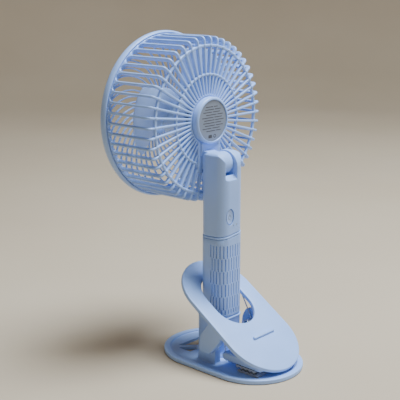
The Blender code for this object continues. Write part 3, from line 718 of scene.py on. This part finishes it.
def neck():
    """Plate under the hub, an arm into the slot, and the round knuckle."""
    shape = Shape()
    x0, x1 = neck_low.x, neck_high.x
    relief = HUB_R + 0.3
    start = math.acos(x1 / relief)
    stop = math.pi - math.acos(-x0 / relief)
    corners = [(x0, 170.0), (x0, neck_low.z), (x1, neck_low.z), (x1, 170.0)]
    outline = round_polygon(corners, [0, 3.0, 3.0, 0], 5)
    for k in range(15):
        angle = start + (stop - start) * k / 14
        outline.append((relief * math.cos(angle), HEAD_Z - relief * math.sin(angle)))
    shape.prism(outline, -18.6, -14.3, "y", 0.6)
    left = SLOT_X[0] + 0.5
    right = SLOT_X[1] - 0.5
    arm = round_polygon([(-15.2, 156.6), (-2.0, 157.6), (-2.0, 170.6), (-15.2, 172.6)], 1.0)
    shape.prism(arm, left + 0.2, right - 0.2, "x", 0.5)
    radius = 9.3
    profile = [(0.6, left), (radius - 0.7, left), (radius - 0.2, left + 0.2), (radius, left + 0.7)]
    profile += [(radius, right - 0.7), (radius - 0.2, right - 0.2), (radius - 0.7, right), (0.6, right)]
    shape.lathe(profile, 96, (0.0, TILT_Z), "x")
    corners = [(-17.0, 176.0), (-13.6, 178.6), (-12.6, 174.0), (-13.4, 168.0), (-17.0, 168.0)]
    brace = round_polygon(corners, 0.8)
    shape.prism(brace, x0 + 3.0, x1 - 3.0, "x", 0.6)
    add_piece("neck", shape, SHELL, "head", ["neck_bracket"], angle=40)


def blade_edges(share):
    """The blade's two edges, in degrees round the hub, before its tip is rounded."""
    marks = (0.0, 0.26, 0.48, 0.7, 0.88, 1.0)
    edges = ((-14.0, 76.0), (-21.0, 57.0), (-25.0, 45.5), (-30.0, 39.0), (-31.5, 36.0), (-30.0, 34.5))
    for i in range(len(marks) - 1):
        if share <= marks[i + 1]:
            break
    t = (share - marks[i]) / (marks[i + 1] - marks[i])
    result = []
    for side in (0, 1):
        p0 = edges[max(i - 1, 0)][side]
        p1 = edges[i][side]
        p2 = edges[i + 1][side]
        p3 = edges[min(i + 2, len(edges) - 1)][side]
        bend = 2 * p1 + (p2 - p0) * t + (2 * p0 - 5 * p1 + 4 * p2 - p3) * t * t
        result.append(0.5 * (bend + (3 * p1 - p0 - 3 * p2 + p3) * t ** 3))
    return result


def blade_sheet(shape, start):
    """One broad blade: swept at its root, rounded at its tip, bowed to the rear and thin at its edges."""
    chords = 20
    curl = (0.25, 0.45, 0.6, 0.72, 0.82, 0.89, 0.94, 0.975, 0.992, 1.0)
    shares = [k / 22 * 0.72 for k in range(23)] + [0.72 + 0.28 * t for t in curl]
    top = []
    low = []
    for share in shares:
        radius = BLADE_ROOT + (BLADE_TIP - BLADE_ROOT) * share
        first, last = blade_edges(share)
        t = max(share - 0.72, 0.0) / 0.28
        room = max(1 - t ** 2.5, 0.008) ** 0.42
        middle = (first + last) / 2
        half = (last - first) / 2 * room
        lean = 7.5 - 6.7 * share
        for j in range(chords + 1):
            u = -math.cos(math.pi * j / chords)
            angle = start + math.radians(middle + half * u)
            y = -43.2 + lean * u * room + 3.2 * (1 - (u * room) ** 2)
            thick = 0.2 + 0.6 * math.sqrt(max(1 - u * u, 0.0)) * (1 - 0.3 * share) * math.sqrt(room)
            spot = (radius * math.cos(angle), radius * math.sin(angle))
            top.append((spot[0], y + thick, HEAD_Z + spot[1]))
            low.append((spot[0], y - thick, HEAD_Z + spot[1]))
    spans = len(shares) - 1
    row = chords + 1
    shift = len(top)
    faces = []
    for i in range(spans):
        for j in range(chords):
            a = i * row + j
            faces.append((a, a + 1, a + row + 1, a + row))
            faces.append((a + shift, a + row + shift, a + row + 1 + shift, a + 1 + shift))
    edge = list(range(row)) + [i * row + chords for i in range(1, spans + 1)]
    edge += [spans * row + j for j in range(chords - 1, -1, -1)] + [i * row for i in range(spans - 1, 0, -1)]
    for a, b in zip(edge, edge[1:] + edge[:1]):
        faces.append((a, b, b + shift, a + shift))
    shape.add(top + low, faces)


def impeller():
    shape = Shape()
    r = 18.0
    profile = [
        (2.0, -50.6), (2.0, -36.0), (r - 2.0, -36.0), (r - 2.0, -24.2), (r - 0.6, -24.0), (r, -24.5),
        (r, -49.0), (r - 0.4, -50.6), (r - 1.4, -52.0), (r - 3.2, -52.9), (r - 6.0, -53.2), (5.0, -53.2),
        (3.6, -52.8), (3.2, -51.8),
    ]
    shape.turned(profile, 96)
    for k in range(BLADES):
        blade_sheet(shape, 2 * math.pi * k / BLADES)
    add_piece("fan_wheel", shape, BLADE, "rotor", ["impeller"], angle=50)


# --- handle

def seam(x, y):
    return SEAM_Z + SEAM_SLOPE[0] * x + SEAM_SLOPE[1] * y


def crown(x, y):
    """Height of the shell's top: an arch over Y blended with rounded shoulders towards X."""
    reach = min(abs(y) / ARCH_R, 0.9999)
    arch = shell_high.z - ARCH_R + ARCH_R * math.sqrt(1 - reach * reach)
    over = max(abs(x) - 7.7, 0.0) / SHOULDER_R
    shoulder = shell_high.z + 0.2 - SHOULDER_R + SHOULDER_R * math.sqrt(max(1 - over * over, 0.0))
    gap = arch - shoulder
    blend = 0.6
    return 0.5 * (arch + shoulder - math.sqrt(gap * gap + blend * blend)) + 0.2


def upper_shell():
    """Upper half of the handle with two ears round the knuckle's slot."""
    outer = squircle(BODY_HALF, BODY_CORNER, 14)
    shape = Shape()
    rings = [[(x * 0.8, y * 0.8, seam(x, y) + 1.1) for x, y in outer]]
    for rise in (1.1, 1.5):
        pull = 1.0 - (0.4 - (rise - 1.1)) / BODY_HALF
        rings.append([(x * pull, y * pull, seam(x, y) + rise) for x, y in outer])
    for k in range(1, 9):
        share = k / 8
        ring = []
        for x, y in outer:
            low = seam(x, y) + 1.5
            ring.append((x, y, low + (crown(x, y) - low) * share))
        rings.append(ring)
    for scale in (0.96, 0.9, 0.8, 0.66, 0.5, 0.33, 0.16, 0.04):
        rings.append([(x * scale, y * scale, crown(x * scale, y * scale)) for x, y in outer])
    shape.loft(rings)
    shell = loose("shell_core", shape)
    slot = Shape()
    f = SLOT_FLOOR
    section = [
        (-30.0, f), (6.2, f), (8.6, f + 3.2), (9.6, f + 3.2), (14.0, f - 1.4), (30.0, f - 1.4),
        (30.0, 190.0), (-30.0, 190.0),
    ]
    slot.prism(section, SLOT_X[0], SLOT_X[1], "x")
    carve(shell, [(loose("slot", slot), "DIFFERENCE")])
    soften(shell, 0.42, 3)
    x, z = centre_of("power_button")
    pocket = Shape()
    outline = [(x + a * 4.45, z + b * 6.75) for a, b in circle(1.0, 64)]
    pocket.prism(outline, 10.6, 20.0, "y")
    cuts = [(loose("pocket", pocket), "DIFFERENCE")]
    for node in ("light_1", "light_2"):
        hole = Shape()
        hole.lathe([(0.85, 11.0), (0.85, 20.0)], 24, centre_of(node))
        cuts.append((loose("hole", hole), "DIFFERENCE"))
    inlet = Shape()
    middle = centre_of("charge_port")[1]
    mouth = [(a, middle + b) for a, b in round_rect(9.5, 3.7, 1.8, 8)]
    inlet.prism(mouth, -20.0, -6.5, "x")
    cuts.append((loose("inlet", inlet), "DIFFERENCE"))
    carve(shell, cuts)
    add_piece("upper_body", take_mesh(shell), SHELL, "handle", ["upper_shell"], angle=34)


def key():
    """Oval key with a dished face and a raised power sign."""
    x, z = centre_of("power_button")
    shape = Shape()
    rings = []
    top = button_high.y
    for grow, y in (
        (0.0, 8.0), (0.0, top - 0.55), (-0.12, top - 0.2), (-0.4, top - 0.02), (-0.8, top + 0.02),
        (-1.15, top - 0.14), (-2.0, top - 0.3), (-3.2, top - 0.36), (-3.9, top - 0.38),
    ):
        rings.append([(x + a * (4.0 + grow), y, z + b * (6.3 + grow)) for a, b in circle(1.0, 72)])
    shape.loft(rings)
    add_piece("power_key", shape, KEY, "button", ["power_button"])
    sign = Shape()
    level = top - 0.38
    rings = []
    for k in range(25):
        angle = math.radians(125) + math.radians(290) * k / 24
        a = math.cos(angle)
        b = math.sin(angle)
        ring = []
        for across, deep in round_rect(0.42, 0.3, 0.12, 2):
            r = 1.55 + across
            ring.append((x + r * a, level + 0.12 + deep, z + r * b))
        rings.append(ring)
    sign.loft(rings)
    bar = [(x + a, z + 1.35 + b) for a, b in round_rect(0.42, 1.7, 0.18)]
    sign.prism(bar, level - 0.1, level + 0.25, "y")
    add_piece("power_sign", sign, MARK, "button")


def lights():
    for node in ("light_1", "light_2"):
        low, high = span(node)
        shape = Shape()
        top = high.y
        profile = [(0.7, low.y), (0.7, top - 0.35), (0.6, top - 0.15), (0.35, top - 0.03), (0.08, top)]
        shape.lathe(profile, 24, centre_of(node))
        add_piece(node + "_lens", shape, LENS, "handle", [node])


def inlet():
    """Charging mouth: a rolled steel shell round a dark tongue."""
    low, high = span("charge_port")
    z = centre_of("charge_port")[1]
    shell = Shape()
    rings = []
    lip = low.x + 0.4
    for width, height, x in ((8.9, 3.1, high.x), (9.0, 3.2, lip), (8.9, 3.1, low.x), (8.4, 2.6, low.x)):
        rings.append([(x, a, z + b) for a, b in round_rect(width, height, height / 2 - 0.02, 8)])
    for x in (lip, high.x - 0.8):
        rings.append([(x, a, z + b) for a, b in round_rect(8.3, 2.5, 1.22, 8)])
    shell.loft(rings)
    add_piece("inlet_shell", shell, STEEL, "handle", ["charge_port"])
    tongue = Shape()
    outline = [(a, z + b) for a, b in round_rect(6.4, 0.7, 0.25)]
    tongue.prism(outline, low.x + 1.0, high.x - 0.7, "x", 0.15)
    add_piece("inlet_tongue", tongue, SWITCH, "handle", ())


def band():
    """Thin raised ring over the slanted joint between the handle's halves."""
    shape = Shape()
    rings = []
    for grow, rise in (
        (-1.8, -0.8), (-0.25, -0.8), (0.0, -0.55), (0.1, 0.0), (0.0, 0.55), (-0.25, 0.8), (-1.8, 0.8),
    ):
        outline = squircle(GRIP_HALF + grow, BODY_CORNER + 0.3 + grow, 14)
        rings.append([(x, y, seam(x, y) + rise) for x, y in outline])
    shape.loft(rings, closed=True)
    add_piece("seam_ring", shape, SHELL, "handle", ["seam_band"])


def along_square(half, corner, distance):
    """Point and outward normal on a rounded square, run from the middle of its +X side towards +Y."""
    flat = half - corner
    turn = math.pi / 2 * corner
    total = 4 * (2 * flat + turn)
    d = distance % total
    quarter = 0
    d += flat
    while d >= 2 * flat + turn:
        d -= 2 * flat + turn
        quarter += 1
    if d < 2 * flat:
        point = Vector((half, d - flat))
        normal = Vector((1.0, 0.0))
    else:
        angle = (d - 2 * flat) / corner
        normal = Vector((math.cos(angle), math.sin(angle)))
        point = Vector((flat, flat)) + normal * corner
    c, s = ((1, 0), (0, 1), (-1, 0), (0, -1))[quarter % 4]
    spin = Matrix(((c, -s), (s, c)))
    return spin @ point, spin @ normal


def grip():
    """Lower half of the handle, with staggered upright slits round its rear half."""
    half = GRIP_HALF
    corner = BODY_CORNER + 0.3
    flat = half - corner
    total = 4 * (2 * flat + math.pi / 2 * corner)
    last = total / 2
    columns = []
    count = int(last / SLIT_PITCH)
    reach = SLIT_WIDTH / 2
    for n in range(count + 1):
        middle = last * n / count
        for shift in (-reach - 0.12, -reach + 0.06, 0.0, reach - 0.06, reach + 0.12):
            columns.append((middle + shift, n, abs(shift) < reach))
    rest = int((total - last) / 0.9)
    for k in range(1, rest):
        columns.append((last + (total - last) * k / rest, -1, False))
    columns.sort(key=lambda column: column[0])
    levels = []
    for k in range(6):
        top = SLIT_TOP - SLIT_TALL * k
        bottom = max(top - SLIT_TALL + 0.3, GRIP_BOTTOM + 2.6)
        if bottom > top - 3:
            continue
        for z, inside in ((top, False), (top - 0.15, True), (bottom + 0.15, True), (bottom, False)):
            levels.append((z, k, inside))
    rings = []

    def ring(height, inset, row, inside):
        points = []
        for distance, n, groove in columns:
            point, normal = along_square(half, corner, distance)
            depth = inset
            if groove and inside and n % 2 == row % 2:
                depth += SLIT_DEPTH
            spot = point - normal * depth
            points.append((spot.x, spot.y, height(spot.x, spot.y)))
        return points

    for drop, inset in ((1.1, 2.0), (1.1, 0.3), (1.45, 0.0)):
        rings.append(ring(lambda x, y, drop=drop: seam(x, y) - drop, inset, 0, False))
    for z, row, inside in levels:
        rings.append(ring(lambda x, y, z=z: z, 0.0, row, inside))
    for rise, inset in ((1.3, 0.0), (0.6, 0.12), (0.15, 0.45), (0.0, 0.9), (0.0, 2.4)):
        rings.append(ring(lambda x, y, rise=rise: GRIP_BOTTOM + rise, inset, 0, False))
    shape = Shape()
    shape.loft(rings)
    add_piece("grip_sleeve", shape, GRIP, "handle", ["grip"], angle=40)


# --- clip base

def ring_at(outline, z):
    return [(x, y, z) for x, y in outline]


# Rear radius and centre, then front radius and centre, as capsule() takes them.
BASE = (40.6, -10.0, 40.0, 35.5)
TOWER_OUT = 26.4
LEG_IN = 19.3


def base():
    """Flat foot with a rounded border, a sunk floor, pierced windows and two towers."""
    shape = Shape()
    rings = []
    for inset, drop in quarter_round(0.9, 4):
        rings.append(ring_at(capsule(*BASE, inset=inset), drop))
    for inset, drop in reversed(quarter_round(0.7, 4)):
        rings.append(ring_at(capsule(*BASE, inset=inset), 3.6 - drop))
    for inset, z in ((4.75, 3.6), (5.0, 3.5), (5.2, 2.55), (5.4, 2.4)):
        rings.append(ring_at(capsule(*BASE, inset=inset), z))
    shape.loft(rings)
    plate = loose("plate_core", shape)
    cuts = []
    windows = (
        ((17.5, -32.6), (-17.5, -32.6), (-3.3, -19.5), (3.3, -19.5)),
        ((20.8, -29.5), (20.8, -16.0), (13.4, -16.0), (9.9, -19.2)),
        ((-20.8, -29.5), (-9.9, -19.2), (-13.4, -16.0), (-20.8, -16.0)),
    )
    for corners in windows:
        tool = Shape()
        tool.prism(round_polygon(corners, 0.9, 4), -5.0, 9.0, "z")
        cuts.append((loose("window", tool), "DIFFERENCE"))
    carve(plate, cuts)
    add_piece("foot_plate", take_mesh(plate), SHELL, "base", ["base_plate"], angle=34)
    towers = Shape()
    outline = round_polygon(
        [
            (-2.4, 2.0), (-2.2, 8.0), (3.2, 14.0), (4.0, 28.0), (8.0, 34.8), (11.0, 36.0), (18.0, 32.6),
            (21.8, 29.0), (21.8, 20.6), (16.3, 14.5), (16.3, 2.0),
        ],
        [0, 2, 4, 4, 2, 2, 3, 3, 3, 1.5, 0],
    )
    leg = round_polygon([(-2.4, 2.0), (-2.2, 8.0), (2.0, 12.5), (16.3, 14.5), (16.3, 2.0)], [0, 2, 2, 1.5, 0])
    towers.pair(outline, 22.6, TOWER_OUT, 0.5)
    towers.pair(leg, LEG_IN, 24.0, 0.5)
    for sign in (-1, 1):
        near = LEG_IN * sign
        far = TOWER_OUT * sign
        skirt = [(near, -2.4), (far, -2.4), (far, 16.3), (near, 16.3)]
        rings = []
        for grow, z in ((0.7, 2.3), (0.45, 2.5), (0.15, 2.8), (0.0, 3.2)):
            centre = (LEG_IN + TOWER_OUT) / 2 * sign
            rings.append([
                (x + math.copysign(grow, x - centre), y + math.copysign(grow, y - 7.0), z) for x, y in skirt
            ])
        towers.loft(rings)
    for mark in (-14.0, 14.0):
        rib = round_polygon([(20.2, 2.0), (34.5, 2.0), (34.5, 3.6), (20.2, 4.4)], 0.4)
        towers.prism(rib, mark - 0.7, mark + 0.7, "x", 0.3)
    add_piece("foot_towers", towers, SHELL, "base")


SOCKET_HALF = 13.3
SOCKET_FRONT = 4.5


def socket():
    """Column that the handle stands in, deeper towards the front and flared at its foot."""
    shape = Shape()
    rings = []
    for half, z in (
        (14.8, 2.5), (14.8, 3.2), (14.6, 3.75), (14.1, 4.3), (13.65, 5.1), (13.38, 6.2), (13.3, 7.6),
        (13.3, 33.8), (13.4, 34.15), (13.75, 34.4), (13.95, 34.75), (14.0, 35.2), (13.95, 35.6),
        (13.75, 35.9), (13.4, 36.0), (10.2, 36.0), (9.95, 35.8), (9.9, 35.4), (9.9, 23.0),
    ):
        outline = squircle(half, BODY_CORNER * half / SOCKET_HALF if half > 12 else 5.3)
        if half > 12:
            outline = [(x, y - SOCKET_FRONT if y < 0 else y) for x, y in outline]
        rings.append(ring_at(outline, z))
    shape.loft(rings)
    add_piece("foot_socket", shape, SHELL, "base", ["handle_socket"])


PAD_TOOTH = ((0.04, 1.0), (0.14, 1.25), (0.34, 1.85), (0.5, 2.0), (0.66, 1.85), (0.86, 1.25), (0.96, 1.0))


def pads():
    """Ridged rubber strips of the two jaws."""
    for node, body, sign in (("lower_pad", "base", 1), ("upper_pad", "lever", -1)):
        low, high = span(node)
        shape = Shape()
        start = low.z if sign > 0 else high.z
        outline = [(low.y, start)]
        teeth = 5
        for k in range(teeth):
            a = low.y + (high.y - low.y) * k / teeth
            b = low.y + (high.y - low.y) * (k + 1) / teeth
            for share, rise in PAD_TOOTH:
                outline.append((a + (b - a) * share, start + sign * rise))
        outline.append((high.y, start))
        shape.prism(outline, low.x, high.x, "x")
        add_piece(node + "_strip", shape, RUBBER, body, [node])


# Along the lever, u runs down its slope from LEVER_ORIGIN and height is square to its top face.
SLOPE = math.radians(33.3)
LEVER_ORIGIN = (-17.7, 66.17)
LEVER = (35.2, 21.4, 35.6, 71.0)
LEVER_WINDOW = (19.8, 24.0, 19.8, 36.6)
LEVER_THICK = 3.4
CHEEK_IN = 27.0
# The jaw ends below the lever's round end: a circle of radius squared TAIL_R2, foreshortened by the slope.
TAIL_Y = 39.1
TAIL_RUN = 0.8358
TAIL_R2 = 1267.0


def lever_point(x, u, height):
    c = math.cos(SLOPE)
    s = math.sin(SLOPE)
    return (x, LEVER_ORIGIN[0] + c * u + s * height, LEVER_ORIGIN[1] - s * u + c * height)


def lever():
    """Sloping squeeze plate: rounded edges, flared window, thumb ridge, cheeks and a level jaw."""
    shape = Shape()
    rings = []

    def edge(outline, inset, height):
        rings.append([lever_point(x, u, height) for x, u in capsule(*outline, inset=inset)])

    for inset, drop in quarter_round(0.75, 4):
        edge(LEVER, inset, -drop)
    for inset, drop in reversed(quarter_round(0.6, 3)):
        edge(LEVER, inset, -LEVER_THICK + drop)
    for inset, drop in quarter_round(0.5, 3):
        edge(LEVER_WINDOW, -inset, -LEVER_THICK + drop)
    for inset, drop in reversed(quarter_round(0.8, 4)):
        edge(LEVER_WINDOW, -inset, -drop)
    shape.loft(rings, closed=True)
    outline = [(a - 3.2, 72.0 + b) for a, b in round_rect(26.0, 2.4, 1.15, 6)]
    ridge = [[lever_point(x, u, -1.0) for x, u in outline]]
    for inset, height in ((0.0, 0.0), (0.0, 1.5), (0.1, 1.75), (0.3, 1.92), (0.6, 2.0)):
        ridge.append([lever_point(x, u, height) for x, u in inset_outline(outline, inset)])
    shape.loft(ridge)
    cheek = round_polygon(
        [(13.9, 39.2), (25.6, 32.3), (25.8, 26.2), (13.6, 11.0), (4.0, 11.4), (2.0, 14.0), (3.2, 24.6)],
        [2.2, 2.6, 3.5, 3.0, 2.5, 2.5, 3.0],
    )
    neck = [(12.4, 44.0), (28.0, 34.0), (24.0, 29.0), (13.0, 35.0)]
    shape.pair(cheek, CHEEK_IN, 30.4, 0.9)
    shape.pair(neck, CHEEK_IN, 28.8, 0.2)
    jaw(shape)
    for x in (-10.0, 10.0):
        web = [(40.0, 14.0), (52.0, 14.0), (52.0, 17.5), (40.0, 25.5)]
        shape.prism(web, x - 1.0, x + 1.0, "x", 0.3)
    add_piece("squeeze_lever", shape, SHELL, "lever", ["clip_lever"], angle=36)


def jaw(shape):
    """Level slab under the lever: a round nose, soft ends, and a tail that follows the lever's outline."""
    low, high = 8.0, 15.0
    radius = (high - low) / 2
    section = [(61.0, low), (64.0, 9.2), (62.0, 11.5), (54.5, 16.5), (53.0, high), (45.0, high), (36.0, high)]
    for i in range(17):
        angle = math.pi / 2 + math.pi * i / 16
        section.append((22.0 + radius + radius * math.cos(angle), low + radius + radius * math.sin(angle)))
    section += [(36.0, low), (48.0, low)]
    half = 24.7
    rings = []
    stations = [(half - inset_at, pull) for pull, inset_at in quarter_round(1.8, 5)]
    stations += [(x, 0.0) for x in (21.5, 19.5, 17.0, 14.0, 10.5, 7.0, 3.5, 0.0)]
    stations = stations + [(-x, pull) for x, pull in reversed(stations[:-1])]
    for x, pull in stations:
        tail = TAIL_Y + TAIL_RUN * math.sqrt(TAIL_R2 - x * x)
        ring = []
        for y, z in inset_outline(section, pull):
            ring.append((x, min(y, tail - pull), z))
        rings.append(ring)
    shape.loft(rings)


COIL_R = 3.1
WIRE_R = 0.55


def springs():
    """Torsion springs: a wire coil from the base up to the lever, built in one fixed shape that does not
    twist as the clip opens.
    """
    x0 = 16.0
    x1 = 21.6
    turns = 4
    sweep = 2 * math.pi * turns + math.radians(30.7)
    steps = turns * 28
    for number, sign in ((1, 1), (2, -1)):
        centres = []
        foot = Vector((x0, PIN_Y + 6.0, 3.25))
        first = Vector((x0, PIN_Y + COIL_R, PIN_Z))
        for k in range(8):
            centres.append(foot.lerp(first, k / 8))
        for i in range(steps + 1):
            angle = sweep * i / steps
            x = x0 + (x1 - x0) * i / steps
            centres.append(Vector((x, PIN_Y + COIL_R * math.cos(angle), PIN_Z + COIL_R * math.sin(angle))))
        top = Vector((x1, 5.0, 46.1))
        end = centres[-1].copy()
        for k in range(1, 9):
            centres.append(end.lerp(top, k / 8))
        rings = []
        for i, here in enumerate(centres):
            run = (centres[min(i + 1, len(centres) - 1)] - centres[max(i - 1, 0)]).normalized()
            side = run.cross(Vector((1.0, 0.0, 0.0))).normalized()
            other = run.cross(side).normalized()
            ring = []
            for a, b in circle(WIRE_R, 10):
                spot = here + side * a + other * b
                ring.append((sign * spot.x, spot.y, spot.z))
            rings.append(ring)
        shape = Shape()
        shape.loft(rings)
        made = add_piece("spring_coil_%d" % number, shape, STEEL, None, (), 60)
        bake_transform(made)
        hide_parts("clip_spring_%d" % number)


# --- pieces kept from the CAD model

def dress():
    looks = {
        "battery_cell": WRAP, "control_board": BOARD, "control_switch": SWITCH, "rotor_can": CAN,
        "motor_stator": COPPER, "shaft_bearing": BRASS, "foot_plug": SHELL, "motor_mount": SHELL,
    }
    for name in (
        "battery_contact", "tilt_pin", "clip_pin_1", "clip_pin_2", "neck_screw_1", "neck_screw_2",
        "motor_shaft",
    ):
        looks[name] = STEEL
    for name, look in looks.items():
        item = frame["nodes"][name]
        item.data.materials.clear()
        item.data.materials.append(look)


# --- stage, light, camera

def stage():
    shape = Shape()
    rings = []
    sweep = [(2350.0, 2600.0), (2340.0, 1600.0), (2300.0, 950.0), (2200.0, 520.0), (2020.0, 230.0)]
    sweep += [(1780.0, 60.0), (1500.0, 0.0), (600.0, 0.0), (200.0, 0.0), (20.0, 0.0)]
    for radius, rise in sweep:
        rings.append([(x, y, base_low.z - 0.15 + rise) for x, y in circle(radius, 96)])
    verts = [point for ring in rings for point in ring]
    faces = []
    for row in range(len(rings) - 1):
        for i in range(96):
            j = (i + 1) % 96
            faces.append((row * 96 + i, row * 96 + j, (row + 1) * 96 + j, (row + 1) * 96 + i))
    faces.append(tuple(range((len(rings) - 1) * 96, len(rings) * 96)))
    shape.add(verts, faces)
    mesh = mesh_from("floor", shape)
    shade(mesh, 40)
    mesh.materials.append(floor_look())
    floor = new_object("floor", mesh)
    if mesh.polygons[-1].normal.z < 0:
        mesh.flip_normals()

    world = bpy.data.worlds.new("studio")
    world.use_nodes = True
    back = world.node_tree.nodes["Background"]
    back.inputs["Color"].default_value = (0.80, 0.72, 0.62, 1.0)
    back.inputs["Strength"].default_value = 0.18
    bpy.context.scene.world = world

    def lamp(name, place, aim, size, power, colour):
        data = bpy.data.lights.new(name, "AREA")
        data.shape = "RECTANGLE"
        data.size = size[0]
        data.size_y = size[1]
        data.energy = power
        data.color = colour
        made = new_object(name, data)
        made.location = place
        made.rotation_euler = (Vector(aim) - Vector(place)).to_track_quat("-Z", "Y").to_euler()

    lamp("key", (-0.32, 0.28, 1.45), (0.0, 0.0, 0.12), (0.65, 0.65), 52.0, (0.78, 0.89, 1.0))
    lamp("side", (-0.5, 1.25, 0.75), (0.0, 0.0, 0.12), (0.7, 0.7), 3.5, (0.84, 0.92, 1.0))
    lamp("fill", (1.3, 0.35, 0.7), (0.0, 0.0, 0.1), (1.2, 1.2), 0.9, (1.0, 0.90, 0.80))


# Degrees, then metres.
VIEW_AZIMUTH = 132.31
VIEW_ELEVATION = 13.79
VIEW_TARGET = (-0.03078, -0.05193, 0.11804)
VIEW_DISTANCE = 0.78808
VIEW_LENS = 81.0


def camera():
    data = bpy.data.cameras.new("camera")
    data.lens = VIEW_LENS
    data.sensor_width = 36.0
    made = new_object("camera", data)
    azimuth = math.radians(VIEW_AZIMUTH)
    elevation = math.radians(VIEW_ELEVATION)
    back = Vector((
        math.sin(azimuth) * math.cos(elevation),
        -math.cos(azimuth) * math.cos(elevation),
        math.sin(elevation),
    ))
    made.location = Vector(VIEW_TARGET) + back * VIEW_DISTANCE
    made.rotation_euler = back.to_track_quat("Z", "Y").to_euler()
    data.clip_start = 0.01
    bpy.context.scene.camera = made


cage()
front_cover()
badge()
hub()
label()
neck()
impeller()
upper_shell()
key()
lights()
inlet()
band()
grip()
base()
socket()
pads()
lever()
springs()
dress()
stage()
camera()
